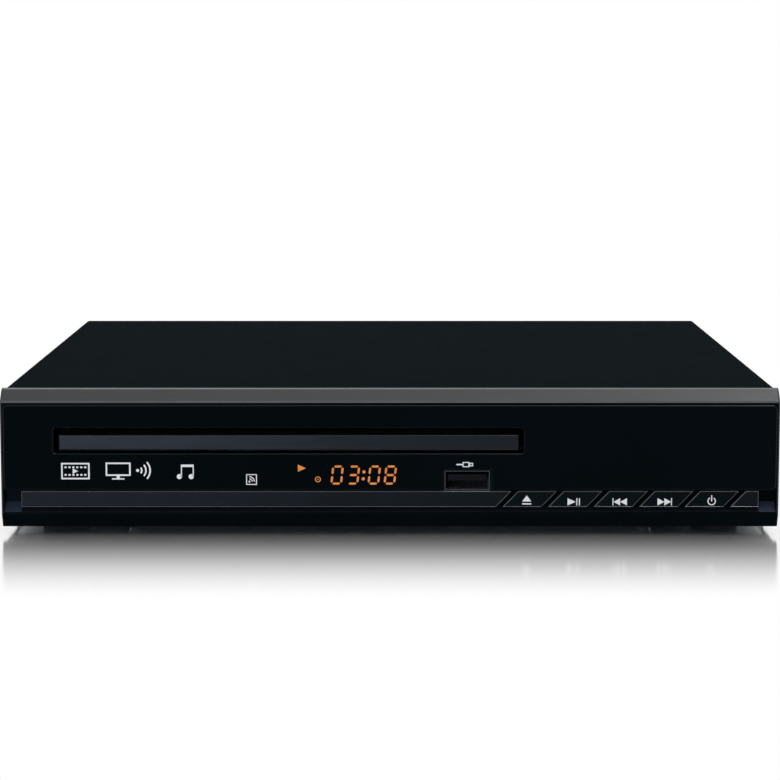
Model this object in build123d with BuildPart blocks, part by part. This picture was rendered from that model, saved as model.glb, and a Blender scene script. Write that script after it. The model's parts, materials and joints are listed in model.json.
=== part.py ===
from build123d import *
import math
import os

os.makedirs("parts", exist_ok=True)

# A compact disc player in millimetres. +X points right as seen from the front, which faces -Y, and +Z is up.
# The origin lies on the standing surface, below the middle of the whole player.

# Overall form
body_width = 224.2  # front moulding, side to side
body_height = 40.0  # front moulding, bottom edge to top edge
body_depth = 199.0  # front face to the outside of the rear wall
foot_height = 2.5
sheet = 0.8  # steel of the cover and the pan
bend_radius = 1.4  # outside radius of the folds in the sheet
cut_overrun = 5.0  # how far a cut runs past the face that it opens

# Clearances
fit_gap = 0.15  # between a piece and the seat that it is fixed in
slide_gap = 0.3  # between a sliding piece and its guide
shaft_gap = 0.05  # between a shaft or a screw and its hole, on the radius

# Front moulding
bezel_depth = 16.0  # window face to the moulding's rear edge
bezel_wall = 2.2
bezel_front_wall = 4.8  # front wall before it is recessed
bezel_edge_radius = 0.8
strip_depth = 3.7  # sloped strip along the top edge
strip_drop = 3.4
strip_edge_bevel = 0.35  # along the strip's two long edges
brow_depth = 1.2  # level top behind the strip
brow_step = 0.3  # the moulding stands this far above the cover
cover_step = 0.3  # and this far outside it on each side
lip_height = 4.5  # lower lip of the key channel, above the bottom edge
lip_face = 0.6
lip_slope = 1.3  # rise of the lip's upper face towards the back
chin_setback = 1.6
channel_depth = 2.5
notch_rise = 2.7  # ramp in the open ends of the channel, from the lip to its back
bezel_tab_width = 14.0
bezel_tab_length = 10.0
bezel_tab_thickness = 2.0
bezel_tab_gap = 21.85  # between a tab's middle and the foot beside it

# Window
window_thickness = 2.0
window_proud = 0.4
window_side_margin = 0.9
window_top_margin = 1.0
window_corner_radius = 1.5
window_edge_bevel = 0.25

# Trim and keys in the channel below the window
band_rise = 1.4  # underside of the trim above the lip
band_height = 4.8
band_gap = 0.3  # between the trim and the window
band_margin = 5.8  # channel left open at both ends
band_slant = 4.65  # sideways lean of the key outlines over their height
band_setback = 0.2
band_edge_radius = 0.45
key_count = 5
key_pitch = 13.12
key_gap = 1.7
end_piece_width = 3.8
key_travel = 0.7
key_flange = 0.35  # overlap of a key's flange behind its opening, sideways
key_flange_rise = 0.8  # and upwards and downwards
key_flange_thickness = 1.0
key_stem = 2.6
key_clearance = 0.2

# Tray slot and door
slot_left_margin = 15.3  # left side of the moulding to the slot
slot_side_gap = 1.55  # between the slot's ends and the door's
slot_rise = 10.6  # above the window's lower edge
slot_height = 7.4
slot_corner_radius = 0.6
door_overhang = 1.6  # door beyond the tray on each side
door_height = 4.5
door_thickness = 3.0
door_rise = 0.9  # above the slot's lower edge
door_setback = 0.2
door_edge_radius = 0.5

# Disc tray
tray_width = 129.0
tray_end_gap = 1.3  # tray's rear edge to the loader frame's rear edge
tray_height = 4.7
tray_rise = 0.5  # underside above the slot's lower edge
tray_deck = 2.5
tray_skirt = 2.0
tray_hold = 34.0  # length of the tray that stays inside when it is out
tray_corner_radius = 3.0
well_margin = 6.2  # tray's front edge to the disc well
well_radius = 60.6
well_depth = 1.3
small_well_radius = 40.6
small_well_depth = 0.4
tray_slot_radius = 23.0
rack_inset = 8.0  # tray's side to the back of its rack
rack_bar = 2.5

# Gears
pressure_angle = math.radians(20)
addendum_share = 0.8  # of the module, as are the next two
dedendum_share = 1.05
backlash_share = 0.14
centre_gap = 0.05
rack_lead_pitches = 1.5  # a rack runs this far past its gear, which stands in a gap between two teeth
rack_spare_teeth = 3  # teeth beyond those that the travel needs
tray_module = 1.0
tray_pinion_teeth = 14
wheel_module = 0.7
tray_wheel_teeth = 36
pulley_pinion_teeth = 14
sled_rack_module = 0.6
sled_pinion_teeth = 14
sled_wheel_module = 0.5
sled_wheel_teeth = 30
sled_motor_teeth = 14

# Loader frame
rear_bay = 28.5  # loader frame's rear edge to the outside of the rear wall
frame_front_gap = 0.4
frame_standoff = 3.0
frame_floor = 2.0
frame_wall = 2.5
frame_side_gap = 0.4
rail_reach = 3.0
rail_thickness = 1.7
guard_reach = 2.2
guard_thickness = 1.5
frame_window_length = 32.0
frame_window_count = 3
frame_window_margin = 2.5
frame_screw_inset = 7.0
standoff_radius = 3.2

# Tray drive
gear_setback = 31.5  # front face to the gears' axes
gear_post_radius = 1.5
gear_shoulder_radius = 2.8
gear_lift = 6.2  # frame floor to the tray gear's wheel
wheel_thickness = 4.0
pinion_overlap = 0.7  # the driving pinion is this much longer than the wheel at each end
pulley_height = 3.2
pulley_radius = 9.0
motor_pulley_radius = 3.2
groove_depth = 1.0
groove_width = 1.8
belt_thickness = 1.2
belt_span = 30.0
motor_radius = 10.5
motor_height = 10.2
motor_bevel = 1.2
motor_shaft_radius = 1.0
motor_shaft_depth = 3.0

# Traverse
seat_lift = 1.5  # disc seat above the well's floor
deck_lift = 4.7  # frame floor to the deck
deck_thickness = 2.0
deck_left = 36.0  # from the disc's axis, as are the next three
deck_right = 42.0
deck_front_reach = 21.0
rod_front_reach = 4.0
pivot_inset = 17.5  # dampers to the loader frame's rear edge
rod_rear_gap = 3.0  # rods' rear blocks in front of the dampers
deck_rear_margin = 5.5
deck_corner_radius = 3.0
cam_drop = 6.4  # fall of the deck's front, from playing to where the tray can move
opening_gap = 1.5
rod_radius = 1.5
rod_offset = 20.0
rod_lift = 4.5
rod_block_width = 6.0
rod_block_length = 4.0
rod_block_cap = 2.4
deck_slot_half = 16.0
deck_slot_front = 17.0
deck_slot_gap = 4.0  # slot's rear end in front of the rods' rear blocks
damper_left = 30.0
damper_right = 36.0
damper_radius = 4.5
damper_waist = 3.0
damper_flange = 1.4
damper_play = 0.35
damper_post_radius = 1.8

# Cam slider
cam_thickness = 2.5
cam_height = 13.6
cam_length = 62.0
cam_travel = 24.0
cam_offset = 33.0  # slider's middle left of the disc's axis
cam_pin_offset = 15.0
cam_pin_lift = 5.5
cam_pin_radius = 1.5
cam_pin_block = 4.0
cam_slot_gap = 0.3
cam_deck_gap = 1.1
cam_guide_height = 4.0
cam_guide_thickness = 1.5

# Spindle
spindle_base_radius = 13.5
spindle_base_height = 2.0
sleeve_radius = 3.2
sleeve_height = 7.0
stator_radius = 10.0
stator_height = 4.5
rotor_radius = 13.0
rotor_wall = 1.1
rotor_top = 1.5
rotor_gap = 0.8
spindle_shaft_radius = 1.5
turntable_radius = 14.5
turntable_thickness = 2.7
pad_inner_radius = 10.5
pad_outer_radius = 14.0
pad_thickness = 0.3
hub_radius = 7.4
hub_top_radius = 6.0
hub_collar = 1.2
hub_height = 2.3

# Pickup sled
lens_reach = 25.0  # disc's axis to the lens at the innermost track
pickup_front_margin = 10.0
pickup_length = 27.0
pickup_half = 17.0
pickup_lift = 0.8
pickup_height = 7.6
pickup_end_gap = 3.0  # between the pickup at the outermost track and the rods' rear blocks
lug_height = 4.6
lug_margin = 3.0
lug_rise = 2.2
rod_slot_width = 5.0
lens_housing_width = 20.0
lens_housing_length = 16.0
lens_housing_gap = 2.2  # below the disc
lens_pocket_width = 14.0
lens_pocket_length = 11.0
lens_pocket_depth = 3.1
lens_pocket_gap = 0.6
lens_holder_rise = 0.6
lens_holder_height = 1.8
lens_radius = 2.2
lens_height = 1.0
sled_bar = 2.0
sled_rack_height = 3.0
sled_rack_margin = 4.0
sled_post_radius = 1.0
sled_shoulder_radius = 2.2
sled_wheel_thickness = 1.6
sled_shoulder_lift = 2.8
sled_motor_radius = 6.0
sled_motor_height = 11.0
sled_motor_flange_radius = 7.2
sled_motor_flange = 1.0
sled_motor_shift = 4.7  # sled motor right of the sled gear
sled_shaft_radius = 0.75
sled_shaft_depth = 3.0

# Clamp
bridge_lift = 1.9  # above the frame's side walls
bridge_thickness = 1.6
bridge_width = 16.0
bridge_ring_radius = 22.0
bridge_hole_radius = 15.0
clamper_rise = 0.9  # above the tray
clamper_radius = 14.0
clamper_flange_radius = 18.0
clamper_flange = 1.2
clamper_pocket_radius = 8.2
clamper_pocket_depth = 2.2
clamper_float = 0.2
magnet_radius = 6.5
magnet_height = 1.8

# Base pan and feet
pan_flange = 9.0
pan_front_flange = 3.4
rear_flange_depth = 8.0
foot_radius = 7.0
foot_taper = 1.0
foot_stem_radius = 2.0
foot_barb_radius = 2.8
foot_barb_height = 1.0
foot_side_inset = 14.0
foot_front_inset = 10.0
foot_rear_inset = 12.0
floor_vent_count = 8
floor_vent_pitch = 8.0
floor_vent_length = 16.0
floor_vent_width = 2.5
rear_vent_count = 7
rear_vent_pitch = 5.0
rear_vent_height = 14.0
rear_vent_width = 2.0

# Cover
cover_rear_lip = 8.0
cover_floor_gap = 0.4
side_screw_height = 3.6
side_screw_front_inset = 30.0
side_screw_rear_inset = 30.0
rear_screw_drop = 4.2
rear_screw_inset = 19.8  # outer screws to the cover's sides
rear_screw_count = 3

# Screws
screw_head_radius = 2.6
screw_head_height = 1.0
screw_head_taper = 25.0  # degrees
screw_shank_radius = 1.3
screw_length = 5.0
tab_screw_length = 3.2  # shorter, to end below the loader frame
screw_hole_gap = 0.25
screw_sides = 8  # screws repeat, so they and their holes are kept to a few flat sides

# Circuit boards
board_thickness = 1.6
board_lift = 5.0
board_gap = 2.5
main_board_length = 106.0
socket_strip = 66.8  # width of the main board where it carries the rear sockets
power_board_gap = 21.3  # between the two boards along the rear wall
board_screw_inset = 4.0
main_rear_inset = 18.0  # rear posts stand clear of the sockets
board_post_radius = 3.0

# Front board and what it carries
front_board_setback = 12.4
front_board_length = 155.0
front_board_gap = 1.6
front_board_side_gap = 1.0
front_boss_radius = 2.6
front_boss_inset = 3.6
display_inset = 35.15  # display's middle to the front board's left end
display_width = 35.6
display_height = 8.0
display_rise = 0.7
display_gap = 0.4
display_clearance = 0.4
receiver_inset = 7.5  # receiver's middle to the front board's left end
receiver_width = 5.5
receiver_height = 6.5
receiver_depth = 4.0
receiver_rise = 3.2  # lens above the window's lower edge
receiver_lens_radius = 2.0
receiver_lens_length = 1.6
receiver_hole_gap = 0.5
usb_inset = 69.6  # socket's middle to the front board's left end
usb_width = 13.1
usb_height = 5.7
usb_wall = 0.3
usb_drop = 0.15  # shell's underside below the window's lower edge
usb_setback = 0.5
usb_clearance = 0.3
usb_tongue_width = 11.0
usb_tongue_height = 1.8
usb_tongue_drop = 1.0
usb_tongue_setback = 1.5
usb_tongue_base = 1.5
switch_width = 6.0
switch_height = 3.6
switch_depth = 2.5
switch_plunger_width = 2.4
switch_plunger_length = 1.2
switch_gap = 0.05

# Ribbon cable and its sockets
ribbon_width = 14.0
ribbon_thickness = 0.4
ribbon_rise = 1.6
socket_length = 4.0
socket_margin = 1.5
socket_height = 4.0

# Rear sockets
jack_pitch = 14.0
jack_count = 3
jack_inset = 13.5  # right-hand jack to the board's right end
jack_radius = 4.15
jack_wall = 0.6
jack_height = 8.0  # axis above the main board
jack_reach = 8.0  # sleeves stand this far out of the rear wall
jack_block_height = 14.0
jack_block_depth = 12.0
jack_block_margin = 6.0
jack_block_gap = 0.3
jack_insert_gap = 0.1
jack_contact_radius = 1.7
jack_sleeve_root = 4.0
jack_root_step = 0.2  # the sleeve is this much thinner inside the player
jack_hole_gap = 0.4
collar_thickness = 1.4
collar_gap = 0.2
collar_width = 1.3
video_gap = 0.8  # between the video socket and the housing of the round sockets
video_width = 15.0
video_base_width = 11.0
video_height = 5.6
video_shoulder = 2.4
video_wall = 0.35
video_depth = 11.0
video_proud = 0.6
video_clearance = 0.4
video_tongue_width = 10.5
video_tongue_height = 1.6
video_tongue_base = 1.5
video_tongue_setback = 1.2
inlet_inset = 18.0  # inlet's middle to the power board's left end
inlet_width = 22.0
inlet_height = 16.0
inlet_depth = 20.0
inlet_flange = 2.0
inlet_flange_thickness = 1.6
inlet_corner_radius = 2.0
inlet_pin_spacing = 8.6
inlet_pin_radius = 1.2
inlet_pin_length = 8.0
inlet_cavity_radius = 4.1
inlet_cavity_depth = 10.0
inlet_clearance = 0.3

# Components on the boards
chip_width = 20.0
chip_height = 1.6
memory_width = 9.0
memory_length = 14.0
memory_gap = 6.0
sink_margin = 2.0
sink_base = 1.5
sink_height = 9.0
sink_fin_count = 6
sink_fin = 1.2
main_capacitor_radius = 3.2
main_capacitor_height = 9.0
main_capacitor_pitch = 9.0
main_capacitor_count = 3
power_capacitor_radius = 5.0
power_capacitor_height = 18.0
power_capacitor_gap = 4.0
transformer_width = 20.0
transformer_depth = 17.0
transformer_height = 16.0
transformer_core = 5.0
winding_radius = 7.0
transformer_gap = 4.0

# Places that follow from the sizes
front_y = -(body_depth + jack_reach) / 2
rear_y = front_y + body_depth
face_y = front_y + window_proud
inner_y = face_y + bezel_front_wall
bezel_rear = front_y + bezel_depth
pan_front = bezel_rear + slide_gap
floor_z = foot_height
pan_top = floor_z + sheet
top_z = floor_z + body_height

cover_half = body_width / 2 - cover_step
cover_top = top_z - brow_step
cover_under = cover_top - sheet
shoulder_y = face_y + strip_depth + brow_depth
shoulder_z = cover_under - fit_gap
shoulder_half = cover_half - sheet - fit_gap
cover_front = shoulder_y + fit_gap
cover_rear = rear_y + fit_gap + sheet

lip_z = floor_z + lip_height
band_z = lip_z + band_rise
band_top = band_z + band_height
band_half = body_width / 2 - band_margin
band_face_y = front_y + band_setback
channel_y = face_y + channel_depth
window_z = band_top + band_gap
strip_z = top_z - strip_drop
window_top = strip_z - window_top_margin
window_half = body_width / 2 - window_side_margin
window_height = window_top - window_z
first_key_x = band_half - end_piece_width - key_count * key_pitch
key_width = key_pitch - key_gap

door_width = tray_width + 2 * door_overhang
slot_width = door_width + 2 * slot_side_gap
loader_x = -body_width / 2 + slot_left_margin + slot_width / 2
slot_z = window_z + slot_rise
door_z = slot_z + door_rise
door_y = front_y + door_setback
tray_front = door_y + door_thickness
tray_length = rear_y - rear_bay - tray_end_gap - tray_front
tray_travel = tray_length - tray_hold
tray_z = slot_z + tray_rise
tray_top = tray_z + tray_height
tray_under = tray_top - tray_deck
disc_y = tray_front + well_margin + well_radius
well_floor = tray_top - well_depth
small_well_floor = well_floor - small_well_depth

frame_front = pan_front + sheet + frame_front_gap
frame_rear = rear_y - rear_bay
frame_length = frame_rear - frame_front
frame_z = pan_top + frame_standoff
frame_top = frame_z + frame_floor
frame_half = tray_width / 2 + frame_side_gap
frame_outer = frame_half + frame_wall
rail_top = tray_z - slide_gap
guard_z = tray_top + slide_gap
wall_top = guard_z + guard_thickness

gear_y = front_y + gear_setback
tray_pitch_radius = tray_module * tray_pinion_teeth / 2
rack_back_x = loader_x + tray_width / 2 - rack_inset
rack_pitch_x = rack_back_x - rack_bar - dedendum_share * tray_module
tray_gear_x = rack_pitch_x - tray_pitch_radius - centre_gap
wheel_radius = wheel_module * tray_wheel_teeth / 2
pulley_pinion_radius = wheel_module * pulley_pinion_teeth / 2
pulley_gear_x = tray_gear_x - wheel_radius - pulley_pinion_radius - centre_gap
loading_motor_x = pulley_gear_x - belt_span
tray_gear_z = frame_top + gear_lift
tray_wheel_top = tray_gear_z + wheel_thickness
pulley_z = tray_wheel_top + pinion_overlap
belt_z = pulley_z + pulley_height / 2

deck_z = frame_top + deck_lift
deck_top = deck_z + deck_thickness
deck_front = disc_y - deck_front_reach
pivot_y = frame_rear - pivot_inset
deck_rear = pivot_y + deck_rear_margin
rod_z = deck_top + rod_lift
rod_front = disc_y - rod_front_reach
rod_rear = pivot_y - rod_rear_gap
seat_z = well_floor + seat_lift
cam_rear = deck_front - cam_deck_gap
cam_front = cam_rear - cam_thickness
cam_pin_z = deck_z + cam_pin_lift
cam_z = frame_top + slide_gap

pickup_y = disc_y + lens_reach - pickup_front_margin
pickup_travel = rod_rear - rod_block_length / 2 - pickup_end_gap - pickup_y - pickup_length
pickup_z = deck_top + pickup_lift
lens_y = disc_y + lens_reach
lens_housing_top = seat_z - lens_housing_gap
lug_z = rod_z - lug_rise
lug_edge = rod_offset + rod_block_width / 2
sled_pitch_radius = sled_rack_module * sled_pinion_teeth / 2
sled_rack_pitch_x = loader_x + lug_edge + sled_bar + dedendum_share * sled_rack_module
sled_gear_x = sled_rack_pitch_x + sled_pitch_radius + centre_gap
sled_gear_y = pickup_y + pickup_length - sled_rack_margin
sled_wheel_radius = sled_wheel_module * sled_wheel_teeth / 2
sled_motor_pitch_radius = sled_wheel_module * sled_motor_teeth / 2
sled_wheel_z = lug_z + lug_height + slide_gap
sled_centres = sled_wheel_radius + sled_motor_pitch_radius + centre_gap
sled_motor_x = sled_gear_x + sled_motor_shift
sled_motor_y = sled_gear_y - math.sqrt(sled_centres**2 - sled_motor_shift**2)
sled_motor_top = sled_wheel_z - slide_gap

bridge_z = wall_top + bridge_lift
bridge_top = bridge_z + bridge_thickness
clamper_z = tray_top + clamper_rise
clamper_flange_z = bridge_top + clamper_float

board_z = pan_top + board_lift
board_top = board_z + board_thickness
board_rear = rear_y - sheet - fit_gap
main_board_left = loader_x + frame_outer + board_gap
main_board_right = shoulder_half - sheet - board_gap
main_board_front = board_rear - main_board_length
power_board_left = loader_x - frame_outer
strip_left = main_board_right - socket_strip
power_board_right = strip_left - power_board_gap
power_board_front = frame_rear + board_gap

front_board_y = front_y + front_board_setback
front_board_rear = front_board_y + board_thickness
front_board_right = shoulder_half - bezel_wall - front_board_side_gap
front_board_left = front_board_right - front_board_length
front_board_z = floor_z + bezel_wall + front_board_gap
front_board_top = tray_z - front_board_gap
display_x = front_board_left + display_inset
receiver_x = front_board_left + receiver_inset
usb_x = front_board_left + usb_inset
display_z = window_z + display_rise
receiver_z = window_z + receiver_rise
usb_z = window_z - usb_drop
usb_left = usb_x - usb_width / 2
key_z = (band_z + band_top) / 2

jack_z = board_top + jack_height
last_jack_x = main_board_right - jack_inset
jack_places = [last_jack_x - index * jack_pitch for index in range(jack_count)]
video_x = jack_places[-1] - jack_block_margin - video_gap - video_width / 2
inlet_x = power_board_left + inlet_inset
inlet_z = board_top + inlet_height / 2
ribbon_x = (main_board_left + main_board_right) / 2
ribbon_z = board_top + ribbon_rise

front_boss_places = [
    (front_board_left + front_boss_inset, front_board_z + front_boss_inset),
    (usb_left + usb_width + front_boss_inset, front_board_top - front_boss_inset),
    (front_board_right - front_boss_inset, front_board_top - front_boss_inset),
]
frame_screw_places = [
    (loader_x + side * (frame_half - frame_screw_inset), y)
    for side in (-1, 1)
    for y in (frame_front + frame_screw_inset, frame_rear - frame_screw_inset)
]
main_post_places = [
    (main_board_left + board_screw_inset, main_board_front + board_screw_inset),
    (main_board_right - board_screw_inset, main_board_front + board_screw_inset),
    (strip_left + board_screw_inset, board_rear - main_rear_inset),
    (main_board_right - board_screw_inset, board_rear - main_rear_inset),
]
power_post_places = [
    (power_board_left + board_screw_inset, power_board_front + board_screw_inset),
    (power_board_right - board_screw_inset, board_rear - board_screw_inset),
]
tab_places = [side * (shoulder_half - foot_side_inset - bezel_tab_gap) for side in (-1, 1)]
tab_screw_y = pan_front + bezel_tab_length / 2
foot_places = [
    (side * (shoulder_half - foot_side_inset), y)
    for side in (-1, 1)
    for y in (pan_front + foot_front_inset, rear_y - foot_rear_inset)
]
side_screw_places = [cover_front + side_screw_front_inset, rear_y - side_screw_rear_inset]
rear_screw_span = 2 * (cover_half - rear_screw_inset)
rear_screw_places = [
    (index / (rear_screw_count - 1) - 1 / 2) * rear_screw_span for index in range(rear_screw_count)
]
damper_places = [loader_x - damper_left, loader_x + damper_right]


def front_plane(y):
    """A sketch plane that faces the front at depth y, with x to the right and z up."""
    return Plane.XZ.offset(-y)


def block(x_span, y_span, z_span, mode=Mode.ADD):
    """A rectangular block between two ends along each axis."""
    with Locations((x_span[0], y_span[0], z_span[0])):
        Box(
            x_span[1] - x_span[0],
            y_span[1] - y_span[0],
            z_span[1] - z_span[0],
            align=(Align.MIN, Align.MIN, Align.MIN),
            mode=mode,
        )


def post(place, radius, z_span, mode=Mode.ADD):
    """An upright cylinder between two heights."""
    with Locations((place[0], place[1], z_span[0])):
        Cylinder(
            radius,
            z_span[1] - z_span[0],
            align=(Align.CENTER, Align.CENTER, Align.MIN),
            mode=mode,
        )


def barrel(place, radius, y_span, mode=Mode.ADD):
    """A level cylinder that runs from front to back; its place is given as x and z."""
    with BuildSketch(front_plane(y_span[0])) as outline:
        with Locations(place):
            Circle(radius)
    extrude(outline.sketch, amount=y_span[0] - y_span[1], mode=mode)


def screw(seat, outward, length):
    """A pan-head screw whose head stands on its seat."""
    with BuildSketch(Plane(origin=seat, z_dir=outward)) as head:
        RegularPolygon(screw_head_radius, 2 * screw_sides)
    extrude(head.sketch, amount=screw_head_height, taper=screw_head_taper)
    with BuildSketch(Plane(origin=seat, z_dir=outward)) as shank:
        RegularPolygon(screw_shank_radius, screw_sides)
    extrude(shank.sketch, amount=-length)


def drill(seat, outward, radius, depth):
    """The hole of a screw, sunk from its seat."""
    with BuildSketch(Plane(origin=seat, z_dir=outward)) as outline:
        RegularPolygon(radius, screw_sides, major_radius=False)
    extrude(outline.sketch, amount=-depth, mode=Mode.SUBTRACT)


def involute(angle):
    """Polar angle that an involute has turned through at a given pressure angle."""
    return math.tan(angle) - angle


def gear_outline(x, y, teeth, module, phase):
    """Outline points of a spur gear with involute flanks; one tooth points along the phase angle."""
    pitch_radius = teeth * module / 2
    base_radius = pitch_radius * math.cos(pressure_angle)
    root_radius = pitch_radius - dedendum_share * module
    tip_radius = pitch_radius + addendum_share * module
    half_tooth = (math.pi / 2 - backlash_share) / teeth
    flank = []
    for radius in sorted({root_radius, max(root_radius, base_radius), pitch_radius, tip_radius}):
        slope = math.acos(min(1, base_radius / radius))
        flank.append((radius, half_tooth + involute(pressure_angle) - involute(slope)))
    points = []
    for tooth in range(teeth):
        middle = phase + 2 * math.pi * tooth / teeth
        sides = [(radius, middle - turn) for radius, turn in flank]
        sides += [(radius, middle + turn) for radius, turn in reversed(flank)]
        points += [(x + radius * math.cos(turn), y + radius * math.sin(turn)) for radius, turn in sides]
    return points


def mesh_phase(direction, own_radius, own_phase, other_radius, module):
    """Phase angle of a second gear that meshes with the first, which sees it in the given direction."""
    tooth_offset = own_radius * (own_phase - direction)
    return direction + math.pi - (tooth_offset + math.pi * module / 2) / other_radius


def rack_outline(back_x, pitch_x, first_y, teeth, module):
    """Outline points of a rack along y; its teeth point from its back towards the pitch line."""
    side = math.copysign(1, pitch_x - back_x)
    root_x = pitch_x - side * dedendum_share * module
    tip_x = pitch_x + side * addendum_share * module
    half_pitch_tooth = (math.pi / 2 - backlash_share) * module / 2
    half_root = half_pitch_tooth + dedendum_share * module * math.tan(pressure_angle)
    half_tip = half_pitch_tooth - addendum_share * module * math.tan(pressure_angle)
    pitch = math.pi * module
    last_y = first_y + (teeth - 1) * pitch
    points = [(back_x, last_y + pitch / 2), (back_x, first_y - pitch / 2), (root_x, first_y - pitch / 2)]
    for tooth in range(teeth):
        middle = first_y + tooth * pitch
        points += [(root_x, middle - half_root), (tip_x, middle - half_tip)]
        points += [(tip_x, middle + half_tip), (root_x, middle + half_root)]
    points.append((root_x, last_y + pitch / 2))
    return points


def prism(points, z_span, mode=Mode.ADD):
    """An upright prism on a closed outline."""
    with BuildSketch(Plane.XY.offset(z_span[0])) as outline:
        with BuildLine():
            Polyline(*points, close=True)
        make_face()
    extrude(outline.sketch, amount=z_span[1] - z_span[0], mode=mode)


def key_outline(left, right, growth_x=0, growth_z=0):
    """Corners of a key or trim outline that leans like the keys, given its ends along its upper edge."""
    lean = band_slant / band_height
    low, high = band_z - growth_z, band_top + growth_z
    shift = lean * (band_top - low)
    return [
        (left - growth_x - shift, low),
        (right + growth_x - shift, low),
        (right + growth_x + lean * growth_z, high),
        (left - growth_x + lean * growth_z, high),
    ]


key_lefts = [first_key_x + index * key_pitch for index in range(key_count)]
key_spans = [(left, left + key_width) for left in key_lefts]


hole_radius = screw_shank_radius + screw_hole_gap
pilot_radius = screw_shank_radius + shaft_gap

# Front moulding: a leaning strip along the top, a recess for the window and a lipped channel for the keys
with BuildPart() as front_bezel:
    with BuildSketch(Plane.YZ.offset(-body_width / 2)):
        Polygon(
            (face_y + chin_setback, floor_z),
            (shoulder_y, floor_z),
            (shoulder_y, top_z),
            (face_y + strip_depth, top_z),
            (face_y, strip_z),
            (face_y, lip_z - lip_face),
            align=None,
        )
        levels = vertices().group_by(Axis.Y)
        chamfer([levels[-2][0], levels[-1].sort_by(Axis.X)[0]], strip_edge_bevel)
    extrude(amount=body_width)
    front_corners = front_bezel.edges().filter_by(GeomType.LINE).filter_by(Axis.X, reverse=True)
    front_corners = [
        edge
        for edge in front_corners
        if edge.center().Y < face_y + strip_depth + brow_depth / 2 and edge.center().Z > floor_z
    ]
    fillet(front_corners, bezel_edge_radius)
    with BuildSketch(front_plane(shoulder_y)):
        with Locations((0, floor_z)):
            Rectangle(2 * shoulder_half, shoulder_z - floor_z, align=(Align.CENTER, Align.MIN))
        fillet(vertices().group_by(Axis.Y)[-1], bend_radius - sheet)
    extrude(amount=shoulder_y - bezel_rear)
    block(
        (-shoulder_half + bezel_wall, shoulder_half - bezel_wall),
        (inner_y, bezel_rear + cut_overrun),
        (floor_z + bezel_wall, shoulder_z - bezel_wall),
        mode=Mode.SUBTRACT,
    )
    with BuildSketch(front_plane(front_y + window_thickness)):
        with Locations((0, (window_z + window_top) / 2)):
            RectangleRounded(
                2 * (window_half + fit_gap), window_height + 2 * fit_gap, window_corner_radius + fit_gap
            )
    extrude(amount=window_thickness + cut_overrun, mode=Mode.SUBTRACT)
    with BuildSketch(Plane.YZ.offset(-window_half)):
        Polygon(
            (face_y - cut_overrun, lip_z),
            (face_y, lip_z),
            (channel_y, lip_z + lip_slope),
            (channel_y, window_z),
            (face_y - cut_overrun, window_z),
            align=None,
        )
    extrude(amount=2 * window_half, mode=Mode.SUBTRACT)
    for left in (-window_half, band_half):
        with BuildSketch(Plane.YZ.offset(left)):
            Polygon((face_y, lip_z), (channel_y, lip_z), (channel_y, lip_z + notch_rise), align=None)
        extrude(amount=window_half - band_half)
    for x, z in front_boss_places:
        barrel((x, z), front_boss_radius, (inner_y, front_board_y))
        drill((x, front_board_y, z), (0, 1, 0), pilot_radius, front_board_y - inner_y)
    with BuildSketch(front_plane(inner_y)):
        with Locations((loader_x, slot_z + slot_height / 2)):
            RectangleRounded(slot_width, slot_height, slot_corner_radius)
        with Locations((usb_x, usb_z + usb_height / 2)):
            Rectangle(usb_width + 2 * usb_clearance, usb_height + 2 * usb_clearance)
        with Locations((display_x, display_z + display_height / 2)):
            Rectangle(display_width + 2 * display_clearance, display_height + 2 * display_clearance)
        with Locations((receiver_x, receiver_z)):
            Circle(receiver_lens_radius + receiver_hole_gap)
        for left, right in key_spans:
            Polygon(*key_outline(left, right, key_clearance, key_clearance), align=None)
    extrude(amount=bezel_front_wall + cut_overrun, mode=Mode.SUBTRACT)
    for x in tab_places:
        block(
            (x - bezel_tab_width / 2, x + bezel_tab_width / 2),
            (bezel_rear - bezel_wall, pan_front + bezel_tab_length),
            (pan_top + fit_gap, pan_top + fit_gap + bezel_tab_thickness),
        )
        drill((x, tab_screw_y, pan_top + fit_gap), (0, 0, -1), pilot_radius, bezel_tab_thickness)
front_bezel.part.label = "front_bezel"
export_step(front_bezel.part, "parts/front_bezel.step")

# Window: a gloss plate that stands slightly proud, open for the tray and notched for the socket
with BuildPart() as front_window:
    with BuildSketch(front_plane(front_y)):
        with Locations((0, (window_z + window_top) / 2)):
            RectangleRounded(2 * window_half, window_height, window_corner_radius)
        with Locations((loader_x, slot_z + slot_height / 2)):
            RectangleRounded(slot_width, slot_height, slot_corner_radius, mode=Mode.SUBTRACT)
        with Locations((usb_x, usb_z + usb_height + usb_clearance)):
            Rectangle(
                usb_width + 2 * usb_clearance,
                usb_height + cut_overrun,
                align=(Align.CENTER, Align.MAX),
                mode=Mode.SUBTRACT,
            )
    extrude(amount=-window_thickness)
    chamfer(front_window.faces().sort_by(Axis.Y)[0].edges(), window_edge_bevel)
front_window.part.label = "front_window"
export_step(front_window.part, "parts/front_window.step")

# Trim: a long bar left of the keys and an end piece right of them, both ending on the keys' slant
with BuildPart() as lower_trim:
    with BuildSketch(front_plane(channel_y)):
        bar_corners = key_outline(-band_half, first_key_x - key_gap)
        bar_corners[0] = (-band_half, band_z)
        Polygon(*bar_corners, align=None)
        end_corners = key_outline(band_half - end_piece_width, band_half)
        end_corners[1] = (band_half, band_z)
        Polygon(*end_corners, align=None)
    extrude(amount=channel_y - band_face_y)
    front_faces = lower_trim.faces().filter_by(Axis.Y).group_by(Axis.Y)[0]
    fillet(front_faces.edges(), band_edge_radius)
lower_trim.part.label = "lower_trim"
export_step(lower_trim.part, "parts/lower_trim.step")

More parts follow.
